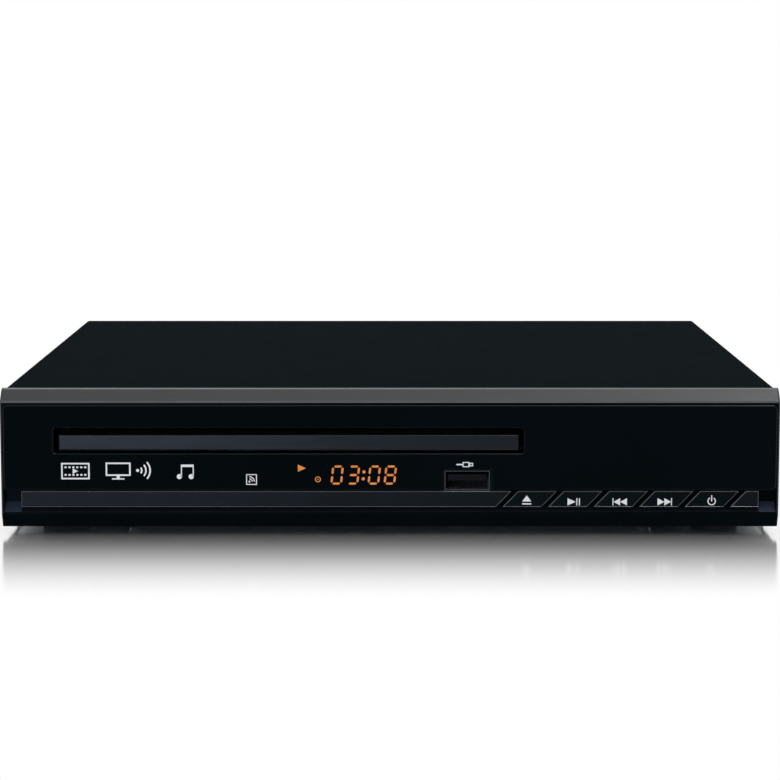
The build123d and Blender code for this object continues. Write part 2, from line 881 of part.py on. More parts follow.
# Keys: each cap slides in its opening, and a flange behind the wall keeps it there
for (left, right), key_name in zip(key_spans, ("eject", "play", "previous", "next", "power")):
    with BuildPart() as key:
        with BuildSketch(front_plane(inner_y + shaft_gap)):
            Polygon(*key_outline(left, right), align=None)
        extrude(amount=inner_y + shaft_gap - band_face_y)
        fillet(key.faces().sort_by(Axis.Y)[0].edges(), band_edge_radius)
        with BuildSketch(front_plane(inner_y + shaft_gap)):
            Polygon(*key_outline(left, right, key_flange, key_flange_rise), align=None)
        extrude(amount=-key_flange_thickness)
        stem_x = (left + right - band_slant) / 2
        stem_end = front_board_y - switch_depth - switch_plunger_length - key_travel - switch_gap
        block(
            (stem_x - key_stem / 2, stem_x + key_stem / 2),
            (inner_y, stem_end),
            (key_z - key_stem / 2, key_z + key_stem / 2),
        )
    key.part.label = key_name + "_button"
    export_step(key.part, "parts/" + key_name + "_button.step")

# Cover: one folded sheet with a lip that laps over the rear wall
with BuildPart() as top_cover:
    with BuildSketch(front_plane(cover_front)):
        with Locations((0, cover_top)):
            Rectangle(2 * cover_half, cover_top - floor_z - cover_floor_gap, align=(Align.CENTER, Align.MAX))
        fillet(vertices().group_by(Axis.Y)[-1], bend_radius)
    extrude(amount=cover_front - cover_rear)
    with BuildSketch(front_plane(cover_front - cut_overrun)):
        with Locations((0, cover_under)):
            Rectangle(2 * (cover_half - sheet), body_height + cut_overrun, align=(Align.CENTER, Align.MAX))
        fillet(vertices().group_by(Axis.Y)[-1], bend_radius - sheet)
    extrude(amount=cover_front - cut_overrun - cover_rear + sheet, mode=Mode.SUBTRACT)
    block(
        (-cover_half - cut_overrun, cover_half + cut_overrun),
        (cover_rear - sheet, cover_rear + cut_overrun),
        (0, cover_top - cover_rear_lip),
        mode=Mode.SUBTRACT,
    )
    for side in (-1, 1):
        for y in side_screw_places:
            drill((side * cover_half, y, floor_z + side_screw_height), (side, 0, 0), hole_radius, sheet)
    for x in rear_screw_places:
        drill((x, cover_rear, cover_top - rear_screw_drop), (0, 1, 0), hole_radius, sheet)
top_cover.part.label = "top_cover"
export_step(top_cover.part, "parts/top_cover.step")

# Base pan: floor, side flanges and rear wall of one folded sheet, with drawn posts for boards and loader
with BuildPart() as base_pan:
    with BuildSketch(front_plane(pan_front)):
        with Locations((0, floor_z)):
            Rectangle(2 * shoulder_half, pan_flange, align=(Align.CENTER, Align.MIN))
        fillet(vertices().group_by(Axis.Y)[0], bend_radius)
    extrude(amount=pan_front - rear_y)
    with BuildSketch(front_plane(pan_front + sheet)):
        with Locations((0, pan_top)):
            Rectangle(2 * (shoulder_half - sheet), pan_flange, align=(Align.CENTER, Align.MIN))
        fillet(vertices().group_by(Axis.Y)[0], bend_radius - sheet)
    extrude(amount=pan_front + 2 * sheet - rear_y, mode=Mode.SUBTRACT)
    block(
        (-shoulder_half + sheet, shoulder_half - sheet),
        (pan_front - cut_overrun, pan_front + sheet),
        (floor_z + pan_front_flange, floor_z + pan_flange + cut_overrun),
        mode=Mode.SUBTRACT,
    )
    with BuildSketch(front_plane(rear_y - sheet)):
        with Locations((0, floor_z + pan_flange)):
            Rectangle(2 * shoulder_half, shoulder_z - floor_z - pan_flange, align=(Align.CENTER, Align.MIN))
        fillet(vertices().group_by(Axis.Y)[-1], bend_radius - sheet)
    extrude(amount=-sheet)
    block(
        (-shoulder_half + bend_radius, shoulder_half - bend_radius),
        (rear_y - rear_flange_depth, rear_y),
        (shoulder_z - sheet, shoulder_z),
    )
    for place in frame_screw_places:
        post(place, standoff_radius, (pan_top, frame_z))
        drill((*place, frame_z), (0, 0, 1), pilot_radius, frame_z - floor_z)
    for place in main_post_places + power_post_places:
        post(place, board_post_radius, (pan_top, board_z))
        drill((*place, board_z), (0, 0, 1), pilot_radius, board_z - floor_z)
    for place in foot_places:
        post(place, foot_stem_radius + fit_gap, (floor_z, pan_top), mode=Mode.SUBTRACT)
    for x in tab_places:
        block(
            (x - bezel_tab_width / 2 - slide_gap, x + bezel_tab_width / 2 + slide_gap),
            (pan_front - cut_overrun, pan_front + sheet),
            (pan_top, pan_top + cut_overrun),
            mode=Mode.SUBTRACT,
        )
        drill((x, tab_screw_y, floor_z), (0, 0, -1), hole_radius, sheet)
    with BuildSketch(Plane.XY.offset(floor_z)):
        with Locations((loader_x, (power_board_front + board_rear) / 2)):
            with GridLocations(floor_vent_pitch, 0, floor_vent_count, 1):
                Rectangle(floor_vent_width, floor_vent_length)
    extrude(amount=sheet, mode=Mode.SUBTRACT)
    with BuildSketch(front_plane(rear_y - sheet)):
        with Locations((loader_x, (board_top + shoulder_z) / 2)):
            with GridLocations(rear_vent_pitch, 0, rear_vent_count, 1):
                Rectangle(rear_vent_width, rear_vent_height)
        for x in jack_places:
            with Locations((x, jack_z)):
                Circle(jack_radius + jack_hole_gap)
        with Locations((video_x, board_top + video_height / 2)):
            Rectangle(video_width + 2 * video_clearance, video_height + 2 * video_clearance)
        with Locations((inlet_x, inlet_z)):
            Rectangle(inlet_width + 2 * inlet_clearance, inlet_height + 2 * inlet_clearance)
    extrude(amount=-sheet, mode=Mode.SUBTRACT)
    for x in rear_screw_places:
        drill((x, rear_y, cover_top - rear_screw_drop), (0, 1, 0), pilot_radius, sheet)
    for side in (-1, 1):
        for y in side_screw_places:
            drill((side * shoulder_half, y, floor_z + side_screw_height), (side, 0, 0), pilot_radius, sheet)
base_pan.part.label = "base_pan"
export_step(base_pan.part, "parts/base_pan.step")

# Feet: tapered rubber pads held by a barbed stem through the pan
with BuildPart() as feet:
    for x, y in foot_places:
        with BuildSketch(front_plane(y)):
            with Locations((x, 0)):
                Polygon(
                    (0, 0),
                    (foot_radius - foot_taper, 0),
                    (foot_radius, foot_height),
                    (foot_stem_radius, foot_height),
                    (foot_stem_radius, pan_top),
                    (foot_barb_radius, pan_top),
                    (foot_stem_radius, pan_top + foot_barb_height),
                    (0, pan_top + foot_barb_height),
                    align=None,
                )
        revolve(axis=Axis((x, y, 0), (0, 0, 1)))
feet.part.label = "feet"
export_step(feet.part, "parts/feet.step")

# Screws of the cover: two on each side and a row across the back
with BuildPart() as cover_screws:
    for side in (-1, 1):
        for y in side_screw_places:
            screw((side * cover_half, y, floor_z + side_screw_height), (side, 0, 0), screw_length)
    for x in rear_screw_places:
        screw((x, cover_rear, cover_top - rear_screw_drop), (0, 1, 0), screw_length)
cover_screws.part.label = "cover_screws"
export_step(cover_screws.part, "parts/cover_screws.step")

# Screws inside: loader frame, clamp bridge, boards and the tabs of the front moulding
bridge_screw_x = frame_half + (frame_wall - guard_reach) / 2
with BuildPart() as inner_screws:
    for x, y in frame_screw_places:
        screw((x, y, frame_top), (0, 0, 1), screw_length)
    for x, y in main_post_places + power_post_places:
        screw((x, y, board_top), (0, 0, 1), screw_length)
    for side in (-1, 1):
        screw((loader_x + side * bridge_screw_x, disc_y, bridge_top), (0, 0, 1), screw_length)
    for x, z in front_boss_places:
        screw((x, front_board_rear, z), (0, 1, 0), screw_length)
    for x in tab_places:
        screw((x, tab_screw_y, floor_z), (0, 0, -1), tab_screw_length)
inner_screws.part.label = "inner_screws"
export_step(inner_screws.part, "parts/inner_screws.step")

# Loader frame: a channel section with rails and guards for the tray, open below the traverse
with BuildPart() as loader_frame:
    with BuildSketch(Plane(origin=(loader_x, frame_front, 0), x_dir=(1, 0, 0), z_dir=(0, -1, 0))):
        with BuildLine():
            Polyline(
                (0, frame_z),
                (frame_outer, frame_z),
                (frame_outer, wall_top),
                (frame_half - guard_reach, wall_top),
                (frame_half - guard_reach, guard_z),
                (frame_half, guard_z),
                (frame_half, rail_top),
                (frame_half - rail_reach, rail_top),
                (frame_half - rail_reach, rail_top - rail_thickness),
                (frame_half, rail_top - rail_thickness),
                (frame_half, frame_top),
                (0, frame_top),
                close=True,
            )
        make_face()
        mirror(about=Plane.YZ)
    extrude(amount=-frame_length)
    block(
        (loader_x - deck_left - opening_gap, loader_x + deck_right + opening_gap),
        (cam_rear + slide_gap, pivot_y - damper_radius - opening_gap),
        (frame_z, frame_top),
        mode=Mode.SUBTRACT,
    )
    window_pitch = frame_length / frame_window_count
    for index in range(frame_window_count):
        window_middle = frame_front + (index + 1 / 2) * window_pitch
        for side in (-1, 1):
            block(
                sorted((loader_x + side * frame_half, loader_x + side * frame_outer)),
                (window_middle - frame_window_length / 2, window_middle + frame_window_length / 2),
                (frame_top + frame_window_margin, rail_top - rail_thickness - frame_window_margin),
                mode=Mode.SUBTRACT,
            )
    for x, y in frame_screw_places:
        drill((x, y, frame_top), (0, 0, 1), hole_radius, frame_floor)
    for side in (-1, 1):
        drill((loader_x + side * bridge_screw_x, disc_y, wall_top), (0, 0, 1), pilot_radius, guard_thickness)
    post((tray_gear_x, gear_y), gear_shoulder_radius, (frame_top, tray_gear_z - shaft_gap))
    post((tray_gear_x, gear_y), gear_post_radius, (frame_top, tray_under - slide_gap))
    post((pulley_gear_x, gear_y), gear_shoulder_radius, (frame_top, tray_gear_z - pinion_overlap - shaft_gap))
    post((pulley_gear_x, gear_y), gear_post_radius, (frame_top, pulley_z + pulley_height))
    for x in damper_places:
        post((x, pivot_y), damper_waist, (frame_top, deck_z - damper_play - damper_flange))
        post((x, pivot_y), damper_post_radius, (frame_top, deck_top + damper_play + damper_flange))
    block(
        (loader_x - cam_offset - cam_length / 2, loader_x - cam_offset + cam_length / 2 + cam_travel),
        (cam_front - slide_gap - cam_guide_thickness, cam_front - slide_gap),
        (frame_top, frame_top + cam_guide_height),
    )
loader_frame.part.label = "loader_frame"
export_step(loader_frame.part, "parts/loader_frame.step")

# Disc tray: two wells for the two disc sizes, a slot open to the rear, skirts, and a rack under its right arm
with BuildPart() as disc_tray:
    with BuildSketch(Plane.XY.offset(tray_under)):
        with Locations((loader_x, tray_front)):
            Rectangle(tray_width, tray_length, align=(Align.CENTER, Align.MIN))
        fillet(vertices().group_by(Axis.Y)[-1], tray_corner_radius)
    extrude(amount=tray_deck)
    with BuildSketch(Plane.XY.offset(tray_z)):
        with Locations((loader_x, tray_front)):
            Rectangle(tray_width, tray_length - tray_corner_radius, align=(Align.CENTER, Align.MIN))
        with Locations((loader_x, tray_front + tray_skirt)):
            Rectangle(
                tray_width - 2 * tray_skirt, tray_length, align=(Align.CENTER, Align.MIN), mode=Mode.SUBTRACT
            )
    extrude(amount=tray_under - tray_z)
    rack_pitch = math.pi * tray_module
    rack_teeth = int(tray_travel / rack_pitch) + rack_spare_teeth
    rack_first_y = gear_y - rack_lead_pitches * rack_pitch
    rack_points = rack_outline(rack_back_x, rack_pitch_x, rack_first_y, rack_teeth, tray_module)
    prism(rack_points, (tray_z, tray_under))
    post((loader_x, disc_y), well_radius, (well_floor, tray_top), mode=Mode.SUBTRACT)
    post((loader_x, disc_y), small_well_radius, (small_well_floor, well_floor), mode=Mode.SUBTRACT)
    with BuildSketch(Plane.XY.offset(tray_z)):
        with Locations((loader_x, disc_y)):
            Circle(tray_slot_radius)
            Rectangle(2 * tray_slot_radius, tray_length, align=(Align.CENTER, Align.MIN))
    extrude(amount=tray_height, mode=Mode.SUBTRACT)
disc_tray.part.label = "disc_tray"
export_step(disc_tray.part, "parts/disc_tray.step")

# Tray door: the satin bar that closes the slot
with BuildPart() as tray_door:
    with BuildSketch(front_plane(tray_front)):
        with Locations((loader_x, door_z + door_height / 2)):
            Rectangle(door_width, door_height)
    extrude(amount=door_thickness)
    fillet(tray_door.faces().sort_by(Axis.Y)[0].edges(), door_edge_radius)
tray_door.part.label = "tray_door"
export_step(tray_door.part, "parts/tray_door.step")

# Tray gear: a wheel driven by the pulley's pinion, and a pinion that reaches up into the tray's rack
with BuildPart() as tray_gear:
    prism(gear_outline(tray_gear_x, gear_y, tray_wheel_teeth, wheel_module, 0), (tray_gear_z, tray_wheel_top))
    prism(
        gear_outline(tray_gear_x, gear_y, tray_pinion_teeth, tray_module, 0),
        (tray_wheel_top, tray_under - slide_gap),
    )
    post(
        (tray_gear_x, gear_y),
        gear_post_radius + shaft_gap,
        (tray_gear_z, tray_under),
        mode=Mode.SUBTRACT,
    )
tray_gear.part.label = "tray_gear"
export_step(tray_gear.part, "parts/tray_gear.step")


def grooved_pulley(x, radius):
    """A belt pulley on the line of the tray gears, with its groove at the belt's height."""
    post((x, gear_y), radius, (pulley_z, pulley_z + pulley_height))
    with BuildSketch(Plane.XY.offset(belt_z - groove_width / 2)) as groove:
        with Locations((x, gear_y)):
            Circle(radius + cut_overrun)
            Circle(radius - groove_depth, mode=Mode.SUBTRACT)
    extrude(groove.sketch, amount=groove_width, mode=Mode.SUBTRACT)


# Pulley gear: a belt pulley with the pinion that drives the tray gear
with BuildPart() as pulley_gear:
    grooved_pulley(pulley_gear_x, pulley_radius)
    pulley_phase = mesh_phase(math.pi, wheel_radius, 0, pulley_pinion_radius, wheel_module)
    prism(
        gear_outline(pulley_gear_x, gear_y, pulley_pinion_teeth, wheel_module, pulley_phase),
        (tray_gear_z - pinion_overlap, pulley_z),
    )
    post(
        (pulley_gear_x, gear_y),
        gear_post_radius + shaft_gap,
        (tray_gear_z - pinion_overlap, pulley_z + pulley_height),
        mode=Mode.SUBTRACT,
    )
pulley_gear.part.label = "pulley_gear"
export_step(pulley_gear.part, "parts/pulley_gear.step")

# Loading motor and the small pulley on its shaft
motor_top = frame_top + motor_height
with BuildPart() as loading_motor:
    post((loading_motor_x, gear_y), motor_radius, (frame_top, motor_top))
    chamfer(loading_motor.faces().sort_by(Axis.Z)[-1].edges(), motor_bevel)
    post(
        (loading_motor_x, gear_y),
        motor_shaft_radius + shaft_gap,
        (motor_top - motor_shaft_depth - slide_gap, motor_top),
        mode=Mode.SUBTRACT,
    )
loading_motor.part.label = "loading_motor"
export_step(loading_motor.part, "parts/loading_motor.step")

with BuildPart() as motor_pulley:
    grooved_pulley(loading_motor_x, motor_pulley_radius)
    post((loading_motor_x, gear_y), motor_shaft_radius, (motor_top - motor_shaft_depth, pulley_z))
motor_pulley.part.label = "motor_pulley"
export_step(motor_pulley.part, "parts/motor_pulley.step")

# Drive belt round the two pulleys
belt_height = groove_width - 2 * slide_gap
with BuildPart() as drive_belt:
    for growth, mode in ((shaft_gap + belt_thickness, Mode.ADD), (shaft_gap, Mode.SUBTRACT)):
        with BuildSketch(Plane.XY.offset(belt_z - belt_height / 2)):
            with Locations((pulley_gear_x, gear_y)):
                Circle(pulley_radius - groove_depth + growth)
            with Locations((loading_motor_x, gear_y)):
                Circle(motor_pulley_radius - groove_depth + growth)
            make_hull()
        extrude(amount=belt_height, mode=mode)
drive_belt.part.label = "drive_belt"
export_step(drive_belt.part, "parts/drive_belt.step")

# Cam slider: a plate with a leaning slot that lowers and raises the front of the traverse
cam_pin_x = loader_x - cam_pin_offset
with BuildPart() as cam_slider:
    with BuildSketch(front_plane(cam_front)):
        with Locations((loader_x - cam_offset, cam_z)):
            Rectangle(cam_length, cam_height, align=(Align.CENTER, Align.MIN))
    extrude(amount=cam_front - cam_rear)
    with BuildSketch(front_plane(cam_front)):
        with Locations((cam_pin_x, cam_pin_z), (cam_pin_x - cam_travel, cam_pin_z - cam_drop)):
            Circle(cam_pin_radius + cam_slot_gap)
        make_hull()
    extrude(amount=cam_front - cam_rear, mode=Mode.SUBTRACT)
cam_slider.part.label = "cam_slider"
export_step(cam_slider.part, "parts/cam_slider.step")

# Traverse deck: carries spindle, guide rods and sled drive, and turns about its rear dampers
with BuildPart() as traverse_deck:
    with BuildSketch(Plane.XY.offset(deck_z)):
        with Locations((loader_x + (deck_right - deck_left) / 2, deck_front)):
            Rectangle(deck_left + deck_right, deck_rear - deck_front, align=(Align.CENTER, Align.MIN))
        fillet(vertices(), deck_corner_radius)
        with Locations((loader_x, disc_y + deck_slot_front)):
            Rectangle(
                2 * deck_slot_half,
                rod_rear - deck_slot_gap - disc_y - deck_slot_front,
                align=(Align.CENTER, Align.MIN),
                mode=Mode.SUBTRACT,
            )
        for x in damper_places:
            with Locations((x, pivot_y)):
                Circle(damper_waist + damper_play, mode=Mode.SUBTRACT)
        with Locations((sled_motor_x, sled_motor_y)):
            Circle(sled_motor_radius + fit_gap, mode=Mode.SUBTRACT)
    extrude(amount=deck_thickness)
    for side in (-1, 1):
        rod_x = loader_x + side * rod_offset
        for y in (rod_front, rod_rear):
            block(
                (rod_x - rod_block_width / 2, rod_x + rod_block_width / 2),
                (y - rod_block_length / 2, y + rod_block_length / 2),
                (deck_top, rod_z + rod_block_cap),
            )
        barrel(
            (rod_x, rod_z),
            rod_radius + shaft_gap,
            (rod_front - rod_block_length, rod_rear + rod_block_length),
            mode=Mode.SUBTRACT,
        )
    block(
        (cam_pin_x - cam_pin_block, cam_pin_x + cam_pin_block),
        (deck_front, deck_front + cam_pin_block),
        (deck_z, cam_pin_z + cam_pin_block),
    )
    barrel((cam_pin_x, cam_pin_z), cam_pin_radius, (cam_front + slide_gap, deck_front))
    post((sled_gear_x, sled_gear_y), sled_shoulder_radius, (deck_top, deck_top + sled_shoulder_lift))
    post((sled_gear_x, sled_gear_y), sled_post_radius, (deck_top, sled_wheel_z + sled_wheel_thickness))
traverse_deck.part.label = "traverse_deck"
export_step(traverse_deck.part, "parts/traverse_deck.step")

# Dampers: rubber spools on the frame's posts that the deck's rear holes sit round
with BuildPart() as dampers:
    damper_bottom = deck_z - damper_play - damper_flange
    damper_top = deck_top + damper_play + damper_flange
    for x in damper_places:
        post((x, pivot_y), damper_radius, (damper_bottom, damper_bottom + damper_flange))
        post((x, pivot_y), damper_waist, (damper_bottom, damper_top))
        post((x, pivot_y), damper_radius, (damper_top - damper_flange, damper_top))
        post((x, pivot_y), damper_post_radius + shaft_gap, (damper_bottom, damper_top), mode=Mode.SUBTRACT)
dampers.part.label = "dampers"
export_step(dampers.part, "parts/dampers.step")

# Spindle motor: base, stator and bearing sleeve stand on the deck; rotor bell and turntable turn on its shaft
bearing_z = deck_top + sheet
base_top = deck_top + spindle_base_height
sleeve_top = base_top + sleeve_height
turntable_z = seat_z - pad_thickness - turntable_thickness
pad_z = seat_z - pad_thickness
with BuildPart() as spindle_motor:
    post((loader_x, disc_y), spindle_base_radius, (deck_top, base_top))
    post((loader_x, disc_y), stator_radius, (base_top, base_top + stator_height))
    post((loader_x, disc_y), sleeve_radius, (base_top, sleeve_top))
    post((loader_x, disc_y), spindle_shaft_radius + shaft_gap, (bearing_z, sleeve_top), mode=Mode.SUBTRACT)
spindle_motor.part.label = "spindle_motor"
export_step(spindle_motor.part, "parts/spindle_motor.step")

with BuildPart() as spindle_rotor:
    post((loader_x, disc_y), rotor_radius, (base_top + rotor_gap, turntable_z))
    post(
        (loader_x, disc_y),
        rotor_radius - rotor_wall,
        (base_top + rotor_gap, turntable_z - rotor_top),
        mode=Mode.SUBTRACT,
    )
    post((loader_x, disc_y), spindle_shaft_radius, (bearing_z + slide_gap, turntable_z))
spindle_rotor.part.label = "spindle_rotor"
export_step(spindle_rotor.part, "parts/spindle_rotor.step")

with BuildPart() as turntable:
    with BuildSketch(front_plane(disc_y)):
        with Locations((loader_x, 0)):
            Polygon(
                (0, turntable_z),
                (turntable_radius, turntable_z),
                (turntable_radius, pad_z),
                (hub_radius, pad_z),
                (hub_radius, pad_z + hub_collar),
                (hub_top_radius, pad_z + hub_height),
                (0, pad_z + hub_height),
                align=None,
            )
    revolve(axis=Axis((loader_x, disc_y, 0), (0, 0, 1)))
turntable.part.label = "turntable"
export_step(turntable.part, "parts/turntable.step")

with BuildPart() as turntable_pad:
    post((loader_x, disc_y), pad_outer_radius, (pad_z, seat_z))
    post((loader_x, disc_y), pad_inner_radius, (pad_z, seat_z), mode=Mode.SUBTRACT)
turntable_pad.part.label = "turntable_pad"
export_step(turntable_pad.part, "parts/turntable_pad.step")

# Guide rods of the pickup sled
with BuildPart() as guide_rods:
    for side in (-1, 1):
        barrel(
            (loader_x + side * rod_offset, rod_z),
            rod_radius,
            (rod_front - rod_block_length / 2, rod_rear + rod_block_length / 2),
        )
guide_rods.part.label = "guide_rods"
export_step(guide_rods.part, "parts/guide_rods.step")

# Optical pickup: a block between the rods, bushed on the left and slotted on the right, with a rack beside it
pickup_top = pickup_z + pickup_height
with BuildPart() as optical_pickup:
    block(
        (loader_x - pickup_half, loader_x + pickup_half),
        (pickup_y, pickup_y + pickup_length),
        (pickup_z, pickup_top),
    )
    fillet(optical_pickup.edges().filter_by(Axis.Z), bend_radius)
    block(
        (loader_x - lug_edge, loader_x + lug_edge),
        (pickup_y + lug_margin, pickup_y + pickup_length - lug_margin),
        (lug_z, lug_z + lug_height),
    )
    block(
        (loader_x - lens_housing_width / 2, loader_x + lens_housing_width / 2),
        (lens_y - lens_housing_length / 2, lens_y + lens_housing_length / 2),
        (pickup_top, lens_housing_top),
    )
    block(
        (loader_x - lens_pocket_width / 2, loader_x + lens_pocket_width / 2),
        (lens_y - lens_pocket_length / 2, lens_y + lens_pocket_length / 2),
        (lens_housing_top - lens_pocket_depth, lens_housing_top),
        mode=Mode.SUBTRACT,
    )
    barrel(
        (loader_x - rod_offset, rod_z),
        rod_radius + shaft_gap,
        (pickup_y, pickup_y + pickup_length),
        mode=Mode.SUBTRACT,
    )
    with BuildSketch(front_plane(pickup_y)):
        with Locations((loader_x + rod_offset, rod_z)):
            Rectangle(rod_slot_width, 2 * (rod_radius + shaft_gap))
    extrude(amount=-pickup_length, mode=Mode.SUBTRACT)
    sled_pitch = math.pi * sled_rack_module
    sled_rack_teeth = int(pickup_travel / sled_pitch) + rack_spare_teeth
    sled_first_tooth = sled_gear_y + (rack_lead_pitches - sled_rack_teeth + 1) * sled_pitch
    prism(
        rack_outline(
            loader_x + lug_edge, sled_rack_pitch_x, sled_first_tooth, sled_rack_teeth, sled_rack_module
        ),
        (rod_z - sled_rack_height / 2, rod_z + sled_rack_height / 2),
    )
optical_pickup.part.label = "optical_pickup"
export_step(optical_pickup.part, "parts/optical_pickup.step")

# Objective lens in its holder, which floats in the pickup's pocket
holder_z = lens_housing_top - lens_pocket_depth + lens_holder_rise
holder_top = holder_z + lens_holder_height
holder_half_width = lens_pocket_width / 2 - lens_pocket_gap
holder_half_length = lens_pocket_length / 2 - lens_pocket_gap
with BuildPart() as objective_lens:
    block(
        (loader_x - holder_half_width, loader_x + holder_half_width),
        (lens_y - holder_half_length, lens_y + holder_half_length),
        (holder_z, holder_top),
    )
    post((loader_x, lens_y), lens_radius, (holder_top, holder_top + lens_height))
    chamfer(objective_lens.faces().sort_by(Axis.Z)[-1].edges(), lens_height / 2)
objective_lens.part.label = "objective_lens"
export_step(objective_lens.part, "parts/objective_lens.step")

# Sled drive: motor through the deck, its pinion, and the gear that moves the pickup's rack
with BuildPart() as sled_gear:
    prism(
        gear_outline(sled_gear_x, sled_gear_y, sled_pinion_teeth, sled_rack_module, math.pi),
        (deck_top + sled_shoulder_lift + shaft_gap, sled_wheel_z),
    )
    prism(
        gear_outline(sled_gear_x, sled_gear_y, sled_wheel_teeth, sled_wheel_module, 0),
        (sled_wheel_z, sled_wheel_z + sled_wheel_thickness),
    )
    post(
        (sled_gear_x, sled_gear_y),
        sled_post_radius + shaft_gap,
        (deck_top, sled_wheel_z + sled_wheel_thickness),
        mode=Mode.SUBTRACT,
    )
sled_gear.part.label = "sled_gear"
export_step(sled_gear.part, "parts/sled_gear.step")

with BuildPart() as sled_motor:
    sled_motor_z = sled_motor_top - sled_motor_height
    post((sled_motor_x, sled_motor_y), sled_motor_radius, (sled_motor_z, sled_motor_top))
    post((sled_motor_x, sled_motor_y), sled_motor_flange_radius, (deck_top, deck_top + sled_motor_flange))
    post(
        (sled_motor_x, sled_motor_y),
        sled_shaft_radius + shaft_gap,
        (sled_motor_top - sled_shaft_depth - slide_gap, sled_motor_top),
        mode=Mode.SUBTRACT,
    )
sled_motor.part.label = "sled_motor"
export_step(sled_motor.part, "parts/sled_motor.step")

with BuildPart() as sled_pinion:
    motor_direction = math.atan2(sled_motor_y - sled_gear_y, sled_motor_x - sled_gear_x)
    sled_phase = mesh_phase(motor_direction, sled_wheel_radius, 0, sled_motor_pitch_radius, sled_wheel_module)
    prism(
        gear_outline(sled_motor_x, sled_motor_y, sled_motor_teeth, sled_wheel_module, sled_phase),
        (sled_wheel_z, sled_wheel_z + sled_wheel_thickness),
    )
    post((sled_motor_x, sled_motor_y), sled_shaft_radius, (sled_motor_top - sled_shaft_depth, sled_wheel_z))
sled_pinion.part.label = "sled_pinion"
export_step(sled_pinion.part, "parts/sled_pinion.step")

# Clamp bridge over the tray, and the clamper that hangs in its ring
with BuildPart() as clamp_bridge:
    with BuildSketch(Plane.XY.offset(bridge_z)):
        with Locations((loader_x, disc_y)):
            Rectangle(2 * frame_outer, bridge_width)
            Circle(bridge_ring_radius)
            Circle(bridge_hole_radius, mode=Mode.SUBTRACT)
    extrude(amount=bridge_thickness)
    for side in (-1, 1):
        block(
            sorted((loader_x + side * (frame_half - guard_reach), loader_x + side * frame_outer)),
            (disc_y - bridge_width / 2, disc_y + bridge_width / 2),
            (wall_top, bridge_z),
        )
        seat = (loader_x + side * bridge_screw_x, disc_y, bridge_top)
        drill(seat, (0, 0, 1), hole_radius, bridge_top - wall_top)
clamp_bridge.part.label = "clamp_bridge"
export_step(clamp_bridge.part, "parts/clamp_bridge.step")

clamper_top = clamper_flange_z + clamper_flange
with BuildPart() as clamper:
    post((loader_x, disc_y), clamper_radius, (clamper_z, clamper_top))
    post((loader_x, disc_y), clamper_flange_radius, (clamper_flange_z, clamper_top))
    post(
        (loader_x, disc_y),
        clamper_pocket_radius,
        (clamper_z, clamper_z + clamper_pocket_depth),
        mode=Mode.SUBTRACT,
    )
    post(
        (loader_x, disc_y),
        magnet_radius + fit_gap,
        (clamper_top - magnet_height, clamper_top),
        mode=Mode.SUBTRACT,
    )
clamper.part.label = "clamper"
export_step(clamper.part, "parts/clamper.step")

with BuildPart() as clamper_magnet:
    post((loader_x, disc_y), magnet_radius, (clamper_top - magnet_height, clamper_top))
clamper_magnet.part.label = "clamper_magnet"
export_step(clamper_magnet.part, "parts/clamper_magnet.step")

# Front board with the display, remote receiver, key switches and data socket
with BuildPart() as front_board:
    block(
        (front_board_left, front_board_right),
        (front_board_y, front_board_rear),
        (front_board_z, front_board_top),
    )
    for x, z in front_boss_places:
        drill((x, front_board_rear, z), (0, 1, 0), hole_radius, board_thickness)
front_board.part.label = "front_board"
export_step(front_board.part, "parts/front_board.step")

with BuildPart() as display_module:
    block(
        (display_x - display_width / 2, display_x + display_width / 2),
        (front_y + window_thickness + display_gap, front_board_y),
        (display_z, display_z + display_height),
    )
display_module.part.label = "display_module"
export_step(display_module.part, "parts/display_module.step")

receiver_front = front_board_y - receiver_depth
with BuildPart() as ir_receiver:
    block(
        (receiver_x - receiver_width / 2, receiver_x + receiver_width / 2),
        (receiver_front, front_board_y),
        (receiver_z - receiver_height / 2, receiver_z + receiver_height / 2),
    )
    receiver_lens_y = receiver_front - receiver_lens_length
    barrel((receiver_x, receiver_z), receiver_lens_radius, (receiver_lens_y, receiver_front))
    chamfer(ir_receiver.faces().sort_by(Axis.Y)[0].edges(), receiver_lens_length / 2)
ir_receiver.part.label = "ir_receiver"
export_step(ir_receiver.part, "parts/ir_receiver.step")

switch_front = front_board_y - switch_depth
with BuildPart() as key_switches:
    for left, right in key_spans:
        switch_x = (left + right - band_slant) / 2
        block(
            (switch_x - switch_width / 2, switch_x + switch_width / 2),
            (switch_front, front_board_y),
            (key_z - switch_height / 2, key_z + switch_height / 2),
        )
        block(
            (switch_x - switch_plunger_width / 2, switch_x + switch_plunger_width / 2),
            (switch_front - switch_plunger_length, switch_front),
            (key_z - switch_plunger_width / 2, key_z + switch_plunger_width / 2),
        )
key_switches.part.label = "key_switches"
export_step(key_switches.part, "parts/key_switches.step")

usb_front = front_y + usb_setback
usb_inner_top = usb_z + usb_height - usb_wall
with BuildPart() as usb_shell:
    with BuildSketch(front_plane(usb_front)):
        with Locations((usb_x, usb_z + usb_height / 2)):
            Rectangle(usb_width, usb_height)
            Rectangle(usb_width - 2 * usb_wall, usb_height - 2 * usb_wall, mode=Mode.SUBTRACT)
    extrude(amount=usb_front - front_board_y)
usb_shell.part.label = "usb_shell"
export_step(usb_shell.part, "parts/usb_shell.step")

